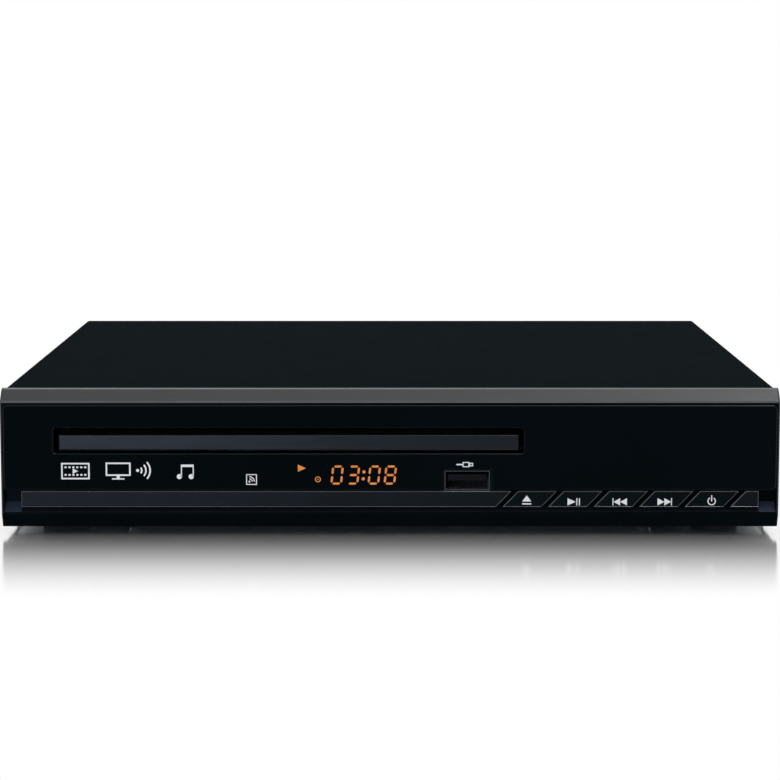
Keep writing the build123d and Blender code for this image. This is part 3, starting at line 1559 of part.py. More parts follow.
with BuildPart() as usb_tongue:
    block(
        (usb_left + usb_wall, usb_left + usb_width - usb_wall),
        (front_board_y - usb_tongue_base, front_board_y),
        (usb_z + usb_wall, usb_inner_top),
    )
    block(
        (usb_x - usb_tongue_width / 2, usb_x + usb_tongue_width / 2),
        (usb_front + usb_tongue_setback, front_board_y),
        (usb_inner_top - usb_tongue_drop - usb_tongue_height, usb_inner_top - usb_tongue_drop),
    )
usb_tongue.part.label = "usb_tongue"
export_step(usb_tongue.part, "parts/usb_tongue.step")

# Ribbon cable from the front board to the main board, between its two sockets
front_socket_rear = front_board_rear + socket_length
with BuildPart() as board_connectors:
    socket_x = (ribbon_x - ribbon_width / 2 - socket_margin, ribbon_x + ribbon_width / 2 + socket_margin)
    socket_z = (board_top, board_top + socket_height)
    block(socket_x, (front_board_rear, front_socket_rear), socket_z)
    block(socket_x, (main_board_front, main_board_front + socket_length), socket_z)
board_connectors.part.label = "board_connectors"
export_step(board_connectors.part, "parts/board_connectors.step")

with BuildPart() as front_ribbon:
    block(
        (ribbon_x - ribbon_width / 2, ribbon_x + ribbon_width / 2),
        (front_socket_rear, main_board_front),
        (ribbon_z, ribbon_z + ribbon_thickness),
    )
front_ribbon.part.label = "front_ribbon"
export_step(front_ribbon.part, "parts/front_ribbon.step")

# Main board with its chips, heat sink and capacitors
chip_x = (main_board_left + main_board_right) / 2
chip_y = (main_board_front + board_rear) / 2
with BuildPart() as main_board:
    block((main_board_left, main_board_right), (main_board_front, power_board_front), (board_z, board_top))
    block((strip_left, main_board_right), (power_board_front, board_rear), (board_z, board_top))
    for x, y in main_post_places:
        drill((x, y, board_top), (0, 0, 1), hole_radius, board_thickness)
main_board.part.label = "main_board"
export_step(main_board.part, "parts/main_board.step")

with BuildPart() as main_chips:
    with Locations((chip_x, chip_y, board_top)):
        Box(chip_width, chip_width, chip_height, align=(Align.CENTER, Align.CENTER, Align.MIN))
    with Locations((chip_x, chip_y + chip_width / 2 + memory_gap + memory_width / 2, board_top)):
        Box(memory_length, memory_width, chip_height, align=(Align.CENTER, Align.CENTER, Align.MIN))
main_chips.part.label = "main_chips"
export_step(main_chips.part, "parts/main_chips.step")

sink_half = chip_width / 2 + sink_margin
sink_z = board_top + chip_height
with BuildPart() as heat_sink:
    with BuildSketch(front_plane(chip_y - sink_half)):
        with Locations((chip_x, sink_z)):
            Rectangle(2 * sink_half, sink_base, align=(Align.CENTER, Align.MIN))
        fin_pitch = (2 * sink_half - sink_fin) / (sink_fin_count - 1)
        with Locations((chip_x, sink_z + sink_height / 2)):
            with GridLocations(fin_pitch, 0, sink_fin_count, 1):
                Rectangle(sink_fin, sink_height)
    extrude(amount=-2 * sink_half)
heat_sink.part.label = "heat_sink"
export_step(heat_sink.part, "parts/heat_sink.step")

# Power board with its transformer
with BuildPart() as power_board:
    block((power_board_left, power_board_right), (power_board_front, board_rear), (board_z, board_top))
    for x, y in power_post_places:
        drill((x, y, board_top), (0, 0, 1), hole_radius, board_thickness)
power_board.part.label = "power_board"
export_step(power_board.part, "parts/power_board.step")

power_y = (power_board_front + board_rear) / 2
capacitor_x = inlet_x + inlet_width / 2 + power_capacitor_gap + power_capacitor_radius
transformer_x = capacitor_x + power_capacitor_radius + transformer_gap + transformer_width / 2
with BuildPart() as transformer:
    for z in (board_top, board_top + transformer_height - transformer_core):
        with Locations((transformer_x, power_y, z)):
            Box(
                transformer_width,
                transformer_depth,
                transformer_core,
                align=(Align.CENTER, Align.CENTER, Align.MIN),
            )
    post((transformer_x, power_y), winding_radius, (board_top, board_top + transformer_height))
transformer.part.label = "transformer"
export_step(transformer.part, "parts/transformer.step")

capacitor_y = chip_y - sink_half - main_capacitor_pitch
with BuildPart() as board_capacitors:
    for index in range(main_capacitor_count):
        post(
            (chip_x + (index - (main_capacitor_count - 1) / 2) * main_capacitor_pitch, capacitor_y),
            main_capacitor_radius,
            (board_top, board_top + main_capacitor_height),
        )
    post((capacitor_x, power_y), power_capacitor_radius, (board_top, board_top + power_capacitor_height))
board_capacitors.part.label = "board_capacitors"
export_step(board_capacitors.part, "parts/board_capacitors.step")

# Mains inlet with its two pins
inlet_face = rear_y + inlet_flange_thickness
inlet_back = inlet_face - inlet_cavity_depth
with BuildPart() as mains_inlet:
    with BuildSketch(front_plane(inlet_face - inlet_depth)):
        with Locations((inlet_x, inlet_z)):
            Rectangle(inlet_width, inlet_height)
    extrude(amount=-inlet_depth)
    with BuildSketch(front_plane(rear_y)):
        with Locations((inlet_x, inlet_z)):
            RectangleRounded(
                inlet_width + 2 * inlet_flange, inlet_height + 2 * inlet_flange, inlet_corner_radius
            )
    extrude(amount=-inlet_flange_thickness)
    with BuildSketch(front_plane(inlet_back)):
        with Locations((inlet_x, inlet_z)):
            SlotCenterToCenter(inlet_pin_spacing, 2 * inlet_cavity_radius)
    extrude(amount=-inlet_cavity_depth, mode=Mode.SUBTRACT)
mains_inlet.part.label = "mains_inlet"
export_step(mains_inlet.part, "parts/mains_inlet.step")

with BuildPart() as mains_pins:
    for side in (-1, 1):
        barrel(
            (inlet_x + side * inlet_pin_spacing / 2, inlet_z),
            inlet_pin_radius,
            (inlet_back, inlet_back + inlet_pin_length),
        )
mains_pins.part.label = "mains_pins"
export_step(mains_pins.part, "parts/mains_pins.step")

# Digital video socket
video_face = rear_y + video_proud
video_back = video_face - video_depth
with BuildPart() as video_socket_shell:
    with BuildSketch(front_plane(video_back)) as video_outline:
        with Locations((video_x, board_top)):
            Polygon(
                (-video_base_width / 2, 0),
                (video_base_width / 2, 0),
                (video_width / 2, video_shoulder),
                (video_width / 2, video_height),
                (-video_width / 2, video_height),
                (-video_width / 2, video_shoulder),
                align=None,
            )
    extrude(amount=-video_depth)
    with BuildSketch(front_plane(video_back + video_tongue_base)):
        offset(video_outline.sketch_local, amount=-video_wall)
    extrude(amount=video_tongue_base - video_depth, mode=Mode.SUBTRACT)
video_socket_shell.part.label = "video_socket_shell"
export_step(video_socket_shell.part, "parts/video_socket_shell.step")

video_tongue_z = board_top + (video_height - video_tongue_height) / 2
with BuildPart() as video_socket_tongue:
    block(
        (video_x - video_tongue_width / 2, video_x + video_tongue_width / 2),
        (video_back + video_tongue_base, video_face - video_tongue_setback),
        (video_tongue_z, video_tongue_z + video_tongue_height),
    )
video_socket_tongue.part.label = "video_socket_tongue"
export_step(video_socket_tongue.part, "parts/video_socket_tongue.step")

# Three round sockets: a common housing, metal sleeves, and an insert and collar of its own colour for each
jack_block_rear = rear_y - sheet - jack_block_gap
jack_root = jack_block_rear - jack_sleeve_root
jack_end = rear_y + jack_reach
jack_free_y = rear_y + collar_thickness
jack_root_radius = jack_radius - jack_root_step
with BuildPart() as av_jack_housing:
    block(
        (jack_places[-1] - jack_block_margin, jack_places[0] + jack_block_margin),
        (jack_block_rear - jack_block_depth, jack_block_rear),
        (board_top, board_top + jack_block_height),
    )
    for x in jack_places:
        barrel((x, jack_z), jack_root_radius + shaft_gap, (jack_root, jack_block_rear), mode=Mode.SUBTRACT)
av_jack_housing.part.label = "av_jack_housing"
export_step(av_jack_housing.part, "parts/av_jack_housing.step")

with BuildPart() as av_jack_sleeves:
    for x in jack_places:
        barrel((x, jack_z), jack_root_radius, (jack_root, jack_free_y))
        barrel((x, jack_z), jack_radius, (jack_free_y, jack_end))
        barrel((x, jack_z), jack_radius - jack_wall, (jack_root, jack_end), mode=Mode.SUBTRACT)
av_jack_sleeves.part.label = "av_jack_sleeves"
export_step(av_jack_sleeves.part, "parts/av_jack_sleeves.step")

for x, insert_name in zip(jack_places, ("right_audio_insert", "left_audio_insert", "video_jack_insert")):
    with BuildPart() as jack_insert:
        barrel((x, jack_z), jack_radius + collar_gap + collar_width, (rear_y, rear_y + collar_thickness))
        barrel((x, jack_z), jack_radius + collar_gap, (rear_y, rear_y + collar_thickness), mode=Mode.SUBTRACT)
        barrel((x, jack_z), jack_radius - jack_wall - jack_insert_gap, (jack_root, jack_end - jack_wall))
        barrel((x, jack_z), jack_contact_radius, (rear_y, jack_end - jack_wall), mode=Mode.SUBTRACT)
    jack_insert.part.label = insert_name
    export_step(jack_insert.part, "parts/" + insert_name + ".step")
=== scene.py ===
"""Looks of a compact disc player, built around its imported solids.

Lengths are written in millimetres and turned into metres where they reach the scene.
The front faces -Y, up is +Z, and the middle of the body is at X = 0.
Colours are linear; shares and roughness run from 0 to 1; angles are in degrees.
"""

import json
import math

import bmesh
import bpy
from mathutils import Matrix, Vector


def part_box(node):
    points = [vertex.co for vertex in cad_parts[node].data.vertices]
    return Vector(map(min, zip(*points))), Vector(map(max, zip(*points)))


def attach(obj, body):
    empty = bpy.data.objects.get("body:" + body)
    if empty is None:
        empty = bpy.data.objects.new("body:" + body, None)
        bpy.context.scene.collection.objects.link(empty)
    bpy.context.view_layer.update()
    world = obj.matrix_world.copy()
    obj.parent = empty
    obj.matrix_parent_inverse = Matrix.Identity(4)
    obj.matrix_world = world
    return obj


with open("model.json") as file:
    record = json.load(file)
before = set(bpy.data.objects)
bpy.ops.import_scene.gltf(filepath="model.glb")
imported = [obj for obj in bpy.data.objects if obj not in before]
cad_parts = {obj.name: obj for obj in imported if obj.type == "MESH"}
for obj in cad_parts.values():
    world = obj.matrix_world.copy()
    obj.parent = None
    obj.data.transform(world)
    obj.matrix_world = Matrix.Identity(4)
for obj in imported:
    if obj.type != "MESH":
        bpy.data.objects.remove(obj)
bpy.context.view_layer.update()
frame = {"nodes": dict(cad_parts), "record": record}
mm = 0.001

# Camera
camera_y = -795.85
camera_z = 132.49
camera_tilt = 7.4035  # below level
camera_lens = 112.5
sensor_width = 36

# Lamps: place, point that the lamp looks at and size, then power in watts and colour
top_lamp = {"place": (60, 150, 900), "aim": (0, 0, 0), "size": (1300, 900)}
top_power = 6.2
top_colour = (1.0, 0.99, 0.98)
left_lamp = {"place": (-200, -750, 45), "aim": (-90, -100, 20), "size": (260, 80)}
left_power = 1.0
left_card_power = 2.2  # shows in reflections only
left_colour = (0.62, 0.74, 1.0)
right_card = {"place": (330, -330, 850), "aim": (90, -100, 40), "size": (300, 260)}
right_card_power = 3.8  # shows in reflections only
room_level = 0.5  # light of the room on the object
backdrop_level = 1.0  # white, as the camera, metal and glass see it

# Floor: polished and pale near the object, plain white further out
floor_half = 6000
floor_colour = (0.95, 0.95, 0.95)
floor_polish_share = 0.7
floor_roughness = 0.14
floor_clear = {"X": 112, "Y": 103}  # the shadow starts to fade this far from the middle
floor_fade = 88  # and has gone after this further distance

# Fine structure of the finishes
noise_low = 0.3  # noise stays mostly between these two values
noise_high = 0.7
noise_detail = 3
gloss_spread_share = 0.1
grains_per_patch = 25  # fine grains along one patch of slowly drifting colour
bump_depth = 0.2  # of the finishes' grain
spangle_cells = 130  # crystal patches of zinc-coated sheet per metre
spangle_tone_share = 0.14
spangle_gloss_share = 0.15
spangle_grain = 1500
spangle_bump = 0.04
glow_unlit_colour = (0.02, 0.01, 0.004)
glow_roughness = 0.5
glow_specular = 0.1
glow_strength = 1.0
glow_grain = 900
glow_drift_share = 0.18

# Shares of a normal that tell the front's edges and slopes from its flat faces
flat_share = 0.92
slope_share = 0.3
strip_bevel_share = 0.55
strip_top_share = 0.85
side_edge_share = 0.85

# Regions of the front that get painted sheen and highlight
strip_drop = 6.0  # the sloped strip lies within this height below the top
lip_rise = 4.0  # lip and ramps end below this height above the trim's lower edge

# Signs
merge_distance = 0.001  # corners of neighbouring shapes this close become one
print_height = 0.03  # how far ink and lit segments stand proud of their face
curve_steps = 20
line_width = 0.45
fine_line = 0.26

# Lit clock
clock_text = "0308"
lit_segments = {"0": "abcdef", "3": "abcdg", "8": "abcdefg"}
digit_lefts = [-17.2, -12.51, -6.52, -1.9]
digit_base = 15.07
digit_width = 3.35
digit_height = 5.57
digit_lean_share = 0.11
segment_width = 0.6
segment_gap = 0.27
colon_x = -7.9
colon_rises = [1.7, 3.7]
colon_radius = 0.47
play_mark = [(-26.5, 18.8), (-26.5, 20.9), (-24.2, 19.85)]
disc_mark = (-20.75, 16.6)
disc_mark_radii = {"outer": 0.85, "inner": 0.6, "core": 0.2}

# Window pictograms: middles along X and Z
film_middle = (-90.5, 19.0)
film_width = 8.2
film_height = 4.8
film_holes = 6
film_hole_width = 0.6
film_hole_height = 0.5
film_hole_pitch = 1.13
film_hole_row = 1.3  # middle of a row of holes from the film's edge
film_arrow_half = 0.78
screen_middle = (-78.2, 19.55)
screen_width = 7.2
screen_height = 3.9
stand_height = 0.7
stand_foot_width = 3.6
stand_foot_height = 0.35
wave_middle = (-72.6, 19.2)
wave_radii = [1.2, 2.4, 3.6]
wave_half_angle = 42
note_head = (-60.6, 17.4)
note_head_radius = 0.75
note_spacing = 3.4
note_stem_width = 0.3
note_stem_height = 3.5
note_beam_height = 0.7
remote_middle = (-39.85, 16.55)
remote_size = 3.1
remote_margin = 0.95
remote_radii = [0.8, 1.4]
plug_middle = (21.85, 20.9)
plug_cable_length = 1.8
plug_cable_width = 0.4
plug_body_length = 1.9
plug_body_height = 1.5
plug_tip_length = 1.1
plug_tip_height = 1.0

# Key signs
key_sign_x = {"eject": 39.4, "play": 52.9, "previous": 66.3, "next": 79.1, "power": 92.7}
key_sign_rise = 1.6  # middle of a sign above the lower edge of the trim
sign_half = 1.08
sign_bar = 0.28
eject_half = 1.32
eject_top = 1.9
eject_base = 0.1
eject_bar_top = -0.4
eject_bar_height = 0.38
play_left = -1.75
play_right = 0.6
pause_lefts = [0.8, 1.55]
skip_left = -2.0
skip_length = 1.95
skip_bar_left = 1.9
power_radius = 1.07
power_line = 0.3
power_lift = 0.2
power_bar_low = 0.1
power_bar_high = 1.95
power_arc = (122, 418)

# Crosses of the cover's screws, painted shade of their recesses
side_screw_limit = 108  # screws further out than this from the middle look to the sides
recess_reach = 1.3
recess_half_width = 0.25
recess_lift = 0.02


def metres(point):
    """A point given in millimetres."""
    return tuple(value * mm for value in point)


def box_mm(node):
    """The lowest and highest corner of a solid, in millimetres."""
    low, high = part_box(node)
    return tuple(value / mm for value in low), tuple(value / mm for value in high)


def shader(name):
    """A new material with its nodes, links, shader and object coordinates."""
    made = bpy.data.materials.new(name)
    made.use_nodes = True
    nodes = made.node_tree.nodes
    place = nodes.new("ShaderNodeTexCoord")
    return made, nodes, made.node_tree.links, nodes["Principled BSDF"], place.outputs["Object"]


def speckle(nodes, links, place, scale, stretch=(1, 1, 1)):
    """Fine noise on object coordinates; scale is in cells per metre."""
    spread = nodes.new("ShaderNodeMapping")
    spread.inputs["Scale"].default_value = stretch
    links.new(place, spread.inputs["Vector"])
    noise = nodes.new("ShaderNodeTexNoise")
    noise.inputs["Scale"].default_value = scale
    noise.inputs["Detail"].default_value = noise_detail
    links.new(spread.outputs["Vector"], noise.inputs["Vector"])
    return noise.outputs["Fac"]


def span(nodes, links, value, low, high):
    """Noise brought to the range from low to high."""
    fit = nodes.new("ShaderNodeMapRange")
    fit.inputs["From Min"].default_value = noise_low
    fit.inputs["From Max"].default_value = noise_high
    fit.inputs["To Min"].default_value = low
    fit.inputs["To Max"].default_value = high
    links.new(value, fit.inputs["Value"])
    return fit.outputs["Result"]


def shade(nodes, links, value, colour, change):
    """A colour that drifts a little darker and lighter with the noise."""
    ramp = nodes.new("ShaderNodeValToRGB")
    dark, light = ramp.color_ramp.elements
    dark.position = noise_low
    light.position = noise_high
    dark.color = (*[part * (1 - change) for part in colour], 1)
    light.color = (*[min(1, part * (1 + change)) for part in colour], 1)
    links.new(value, ramp.inputs["Fac"])
    return ramp.outputs["Color"]


def roughen(nodes, links, principled, height, strength):
    """Small bumps from a noise."""
    ridge = nodes.new("ShaderNodeBump")
    ridge.inputs["Strength"].default_value = strength
    ridge.inputs["Distance"].default_value = bump_depth * mm
    links.new(height, ridge.inputs["Height"])
    links.new(ridge.outputs["Normal"], principled.inputs["Normal"])


def surface(
    name,
    colour,
    roughness,
    metallic=0.0,
    specular=0.5,
    grain=900,
    stretch=(1, 1, 1),
    bump=0.02,
    change=0.15,
):
    """A moulded, painted or metal finish: drifting colour, uneven gloss and a fine grain."""
    made, nodes, links, principled, place = shader(name)
    principled.inputs["Metallic"].default_value = metallic
    principled.inputs["Specular IOR Level"].default_value = specular
    broad = speckle(nodes, links, place, grain / grains_per_patch)
    fine = speckle(nodes, links, place, grain, stretch)
    links.new(shade(nodes, links, broad, colour, change), principled.inputs["Base Color"])
    lowest = roughness * (1 - gloss_spread_share)
    highest = min(1, roughness * (1 + gloss_spread_share))
    links.new(span(nodes, links, fine, lowest, highest), principled.inputs["Roughness"])
    if bump:
        roughen(nodes, links, principled, fine, bump)
    return made


def spangled(name, colour, roughness):
    """Zinc-coated sheet: crystal patches that differ a little in tone and gloss."""
    made, nodes, links, principled, place = shader(name)
    principled.inputs["Metallic"].default_value = 1.0
    cells = nodes.new("ShaderNodeTexVoronoi")
    cells.inputs["Scale"].default_value = spangle_cells
    links.new(place, cells.inputs["Vector"])
    tone = nodes.new("ShaderNodeRGBToBW")
    links.new(cells.outputs["Color"], tone.inputs["Color"])
    value = tone.outputs["Val"]
    links.new(shade(nodes, links, value, colour, spangle_tone_share), principled.inputs["Base Color"])
    lowest = roughness * (1 - spangle_gloss_share)
    highest = roughness * (1 + spangle_gloss_share)
    links.new(span(nodes, links, value, lowest, highest), principled.inputs["Roughness"])
    roughen(nodes, links, principled, speckle(nodes, links, place, spangle_grain), spangle_bump)
    return made


def glow(name, colour):
    """A lit display segment, a little uneven along its length."""
    made, nodes, links, principled, place = shader(name)
    principled.inputs["Base Color"].default_value = (*glow_unlit_colour, 1)
    principled.inputs["Roughness"].default_value = glow_roughness
    principled.inputs["Specular IOR Level"].default_value = glow_specular
    principled.inputs["Emission Strength"].default_value = glow_strength
    lit = shade(nodes, links, speckle(nodes, links, place, glow_grain), colour, glow_drift_share)
    links.new(lit, principled.inputs["Emission Color"])
    return made


finishes = {}


def finish(slot, colour, roughness, **detail):
    """Keeps the finish of a material slot under the slot's name."""
    finishes[slot] = surface(slot, colour, roughness, **detail)


# Casing and front
finish("bezel_black", (0.0005, 0.002, 0.0028), 0.3, specular=0.012, grain=2500, bump=0.01)
finish("window_gloss", (0.0009, 0.0027, 0.0036), 0.06, specular=0.012, grain=300, bump=0.0, change=0.2)
finish("trim_satin", (0.0026, 0.0054, 0.0078), 0.25, specular=0.055, grain=2500)
finish("key_satin", (0.0018, 0.0046, 0.006), 0.34, specular=0.02, grain=2500)
finish("door_satin", (0.003, 0.006, 0.0092), 0.22, specular=0.12, grain=1600, stretch=(0.05, 1, 1))
finish("cover_paint", (0.006, 0.0089, 0.0107), 0.8, specular=0.0005, grain=2600, bump=0.3, change=0.06)
finishes["pan_steel"] = spangled("pan_steel", (0.4, 0.41, 0.42), 0.38)
finish("screw_black", (0.012, 0.012, 0.013), 0.35, metallic=0.6, grain=2000)
finish("screw_steel", (0.5, 0.5, 0.51), 0.3, metallic=1.0, grain=2000)
finish("rubber_black", (0.01, 0.01, 0.01), 0.85, specular=0.2, grain=1500, bump=0.1)
finish("display_black", (0.006, 0.006, 0.006), 0.2, grain=800)
finish("receiver_black", (0.01, 0.004, 0.006), 0.15, grain=900, bump=0.0)
# Loader
finish("loader_grey", (0.014, 0.0145, 0.0155), 0.5, grain=2000, bump=0.04)
finish("tray_grey", (0.022, 0.023, 0.025), 0.5, grain=2200, bump=0.05)
finish("gear_white", (0.75, 0.74, 0.7), 0.4, grain=1500)
finish("motor_steel", (0.46, 0.46, 0.47), 0.28, metallic=1.0, grain=900, stretch=(1, 1, 0.05))
finish("rod_steel", (0.62, 0.62, 0.63), 0.14, metallic=1.0, grain=900, bump=0.0)
finish("pickup_metal", (0.34, 0.34, 0.35), 0.42, metallic=0.9, grain=1200, bump=0.06)
finish("lens_clear", (0.1, 0.12, 0.2), 0.05, specular=0.8, grain=500, bump=0.0)
finish("magnet_grey", (0.08, 0.08, 0.085), 0.5, metallic=0.5, grain=1500)
# Boards and sockets
finish("board_green", (0.012, 0.075, 0.03), 0.35, grain=400, change=0.35)
finish("chip_black", (0.015, 0.015, 0.016), 0.55, grain=3000, bump=0.05)
finish("socket_cream", (0.72, 0.68, 0.58), 0.45, grain=1500)
finish("ribbon_white", (0.78, 0.79, 0.8), 0.4, grain=1400, stretch=(1, 0.02, 1), bump=0.1)
finish("socket_steel", (0.55, 0.55, 0.56), 0.25, metallic=1.0, grain=1400)
finish("socket_black", (0.012, 0.012, 0.013), 0.5, grain=1800, bump=0.04)
finish("insert_yellow", (0.75, 0.46, 0.02), 0.4, grain=1500)
finish("insert_white", (0.76, 0.76, 0.74), 0.4, grain=1500)
finish("insert_red", (0.5, 0.02, 0.015), 0.4, grain=1500)
finish("pin_brass", (0.6, 0.42, 0.2), 0.25, metallic=1.0, grain=1500)
finish("sink_aluminium", (0.6, 0.61, 0.62), 0.38, metallic=1.0, grain=1200, stretch=(1, 0.05, 1))
finish("capacitor_sleeve", (0.02, 0.028, 0.06), 0.35, grain=1200)
finish("transformer_ferrite", (0.05, 0.048, 0.046), 0.6, grain=900, bump=0.08)

# Finishes of single faces, which are painted highlight, sheen and shade, and of the signs
# Painted highlight: a lighter copy of the front's black on the rounded side edges of the front and on the
# edges of the door
edge_painted_highlight = surface("edge_painted_highlight", (0.007, 0.0105, 0.0155), 0.25, specular=0.3, grain=1500, bump=0.0)
# Painted highlight: bright lines on the rounded edges of the trim and the keys
edge_painted_glint = surface("edge_painted_glint", (0.035, 0.038, 0.043), 0.25, specular=0.8, grain=1500, bump=0.0)
# Painted highlight: light lines on the two bevels of the strip
bevel_painted_highlight = surface("bevel_painted_highlight", (0.07, 0.074, 0.08), 0.3, specular=0.35, grain=1500, bump=0.0)
# Painted highlight: faint light lines on the bevelled rim of the window
edge_painted_faint_highlight = surface("edge_painted_faint_highlight", (0.003, 0.0048, 0.0066), 0.25, specular=0.08, grain=1500, bump=0.0)
# Painted sheen: the sloped strip, which faces the overhead lamp, is a lighter copy of the bezel's black;
# its higher gloss and horizontal grain are its own
strip_painted_sheen = surface(
    "strip_painted_sheen", (0.0055, 0.008, 0.011), 0.3, specular=0.28, grain=1500, stretch=(0.03, 1, 1), bump=0.12
)
# Painted light: the ramps at the ends of the key channel are a lighter, bluish copy of the bezel's black,
# as lit by the left lamp
ramp_painted_light = surface("ramp_painted_light", (0.02, 0.027, 0.044), 0.4, specular=0.02, grain=2200, bump=0.03)
# Painted sheen: the slope below the trim, which faces up to the lamps, is a lighter copy of the bezel's
# black
lip_painted_sheen = surface("lip_painted_sheen", (0.0072, 0.0112, 0.0155), 0.4, specular=0.1, grain=2200, bump=0.03)
# Painted shade: a dark copy of the socket steel on the front of the USB shell, which lies in the window's
# shadow
rim_painted_shade = surface("rim_painted_shade", (0.02, 0.021, 0.022), 0.4, metallic=1.0, grain=1400)
# Painted shade: near black on the USB tongue inside its socket and on the loader's front faces deep
# behind the tray slot
cavity_painted_shade = surface("cavity_painted_shade", (0.004, 0.005, 0.0055), 0.5, specular=0.03, grain=2000)
# Painted shade: dark crosses for the recesses of the cover's screws
recess_painted_shade = surface("recess_painted_shade", (0.003, 0.003, 0.003), 0.7, specular=0.1, grain=2000)
ink_white = surface("ink_white", (0.73, 0.72, 0.7), 0.5, specular=0.2, grain=2500, bump=0.04, change=0.05)
amber_lit = glow("amber_lit", (0.66, 0.215, 0.04))

for part in frame["record"]["subparts"]:
    target = frame["nodes"][part["node"]].data
    target.materials.clear()
    target.materials.append(finishes[part["material_slot"]])


def paint(node, second, chosen):
    """Gives the faces that are chosen by middle and normal a second finish, here a painted highlight,
    sheen or shade.
    """
    mesh = frame["nodes"][node].data
    mesh.materials.append(second)
    for face in mesh.polygons:
        if chosen(face.center / mm, face.normal):
            face.material_index = len(mesh.materials) - 1


bezel_top = box_mm("front_bezel")[1][2]
trim_low, trim_high = box_mm("lower_trim")
lip_top = trim_low[2] + lip_rise


def edge_face(normal):
    """A face of a rounded or bevelled front edge."""
    return -flat_share < normal.y < -slope_share


def every_edge(middle, normal):
    """Front edges that look to any side."""
    return edge_face(normal)


def front_slope(normal):
    """A face that looks up and to the front."""
    return normal.y < -slope_share and normal.z > slope_share


def strip_face(middle, normal):
    """The sloped strip below the cover, with its bevels."""
    return front_slope(normal) and middle.z > bezel_top - strip_drop


def strip_edge(middle, normal):
    """The two bevels of the strip."""
    bevel = normal.z < strip_bevel_share or normal.z > strip_top_share
    return strip_face(middle, normal) and bevel


def lip_face(middle, normal):
    """The slope below the trim."""
    return front_slope(normal) and middle.z < lip_top


def ramp_face(middle, normal):
    """The ramps at both ends of the key channel."""
    return lip_face(middle, normal) and not trim_low[0] < middle.x < trim_high[0]


def side_edge(middle, normal):
    """The rounded left and right edge of the front, above the lip."""
    return normal.y < 0 and slope_share < abs(normal.x) < side_edge_share and middle.z > lip_top


def front_face(middle, normal):
    """Faces that look straight to the front."""
    return normal.y < -flat_share


def every_face(middle, normal):
    """All faces of a solid."""
    return True


# Painted sheen on the sloped strip below the cover
paint("front_bezel", strip_painted_sheen, strip_face)
# Painted highlight on the strip's two bevels
paint("front_bezel", bevel_painted_highlight, strip_edge)
# Painted sheen on the slope below the trim
paint("front_bezel", lip_painted_sheen, lip_face)
# Painted light on the ramps at both ends of the key channel
paint("front_bezel", ramp_painted_light, ramp_face)
# Painted highlight on the rounded left and right edges of the front
paint("front_bezel", edge_painted_highlight, side_edge)
# Painted highlight on the window's bevelled rim
paint("front_window", edge_painted_faint_highlight, every_edge)
# Painted highlight on the rounded edges of the trim
paint("lower_trim", edge_painted_glint, every_edge)
# Painted highlight on the edges of the door
paint("tray_door", edge_painted_highlight, every_edge)
# Painted highlight on the rounded edges of each key
for kind in key_sign_x:
    paint(f"{kind}_button", edge_painted_glint, every_edge)
# Painted shade on the front of the USB shell
paint("usb_shell", rim_painted_shade, front_face)
# Painted shade on the USB tongue inside its socket
paint("usb_tongue", cavity_painted_shade, every_face)
# Painted shade on the loader's front faces behind the tray slot
paint("loader_frame", cavity_painted_shade, front_face)


def ring(middle, radius, width, start=0, end=360):
    """Quads of a flat ring, or of a part of one, with angles from +X."""
    x, z = middle
    quads = []
    for step in range(curve_steps):
        turns = [math.radians(start + (end - start) * (step + more) / curve_steps) for more in (0, 1)]
        far, near = [
            [(x + reach * math.cos(turn), z + reach * math.sin(turn)) for turn in turns]
            for reach in (radius + width / 2, radius - width / 2)
        ]
        quads.append([far[0], far[1], near[1], near[0]])
    return quads


def dot(middle, radius):
    """A flat round dot."""
    x, z = middle
    turns = [2 * math.pi * step / curve_steps for step in range(curve_steps)]
    return [[(x + radius * math.cos(turn), z + radius * math.sin(turn)) for turn in turns]]


def panel(left, low, right, high):
    """A filled upright rectangle."""
    return [[(left, low), (right, low), (right, high), (left, high)]]


def outline(left, low, right, high, width):
    """The four strokes of a rectangle, set side by side."""
    return (
        panel(left, low, right, low + width)
        + panel(left, high - width, right, high)
        + panel(left, low + width, left + width, high - width)
        + panel(right - width, low + width, right, high - width)
    )


def around(middle, width, height):
    """Left, low, right and high end of a box around its middle."""
    x, z = middle
    return x - width / 2, z - height / 2, x + width / 2, z + height / 2


def piece_of(name, build, body, look):
    """Turns a built mesh into a piece that rides on a body."""
    bmesh.ops.recalc_face_normals(build, faces=build.faces)
    mesh = bpy.data.meshes.new(name)
    build.to_mesh(mesh)
    build.free()
    mesh.materials.append(look)
    piece = bpy.data.objects.new(name, mesh)
    bpy.context.scene.collection.objects.link(piece)
    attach(piece, body)


def sign(name, shapes, face_y, body, look):
    """Thin ink or lit segments on a face that looks to the front, as one piece."""
    build = bmesh.new()
    for shape in shapes:
        build.faces.new([build.verts.new(metres((x, face_y, z))) for x, z in shape])
    bmesh.ops.remove_doubles(build, verts=build.verts, dist=merge_distance * mm)
    bmesh.ops.recalc_face_normals(build, faces=build.faces)
    for face in build.faces:
        if face.normal.y > 0:
            face.normal_flip()
    grown = bmesh.ops.extrude_face_region(build, geom=build.faces[:], use_keep_orig=True)
    lifted = [item for item in grown["geom"] if isinstance(item, bmesh.types.BMVert)]
    bmesh.ops.translate(build, verts=lifted, vec=metres((0, -print_height, 0)))
    piece_of(name, build, body, look)


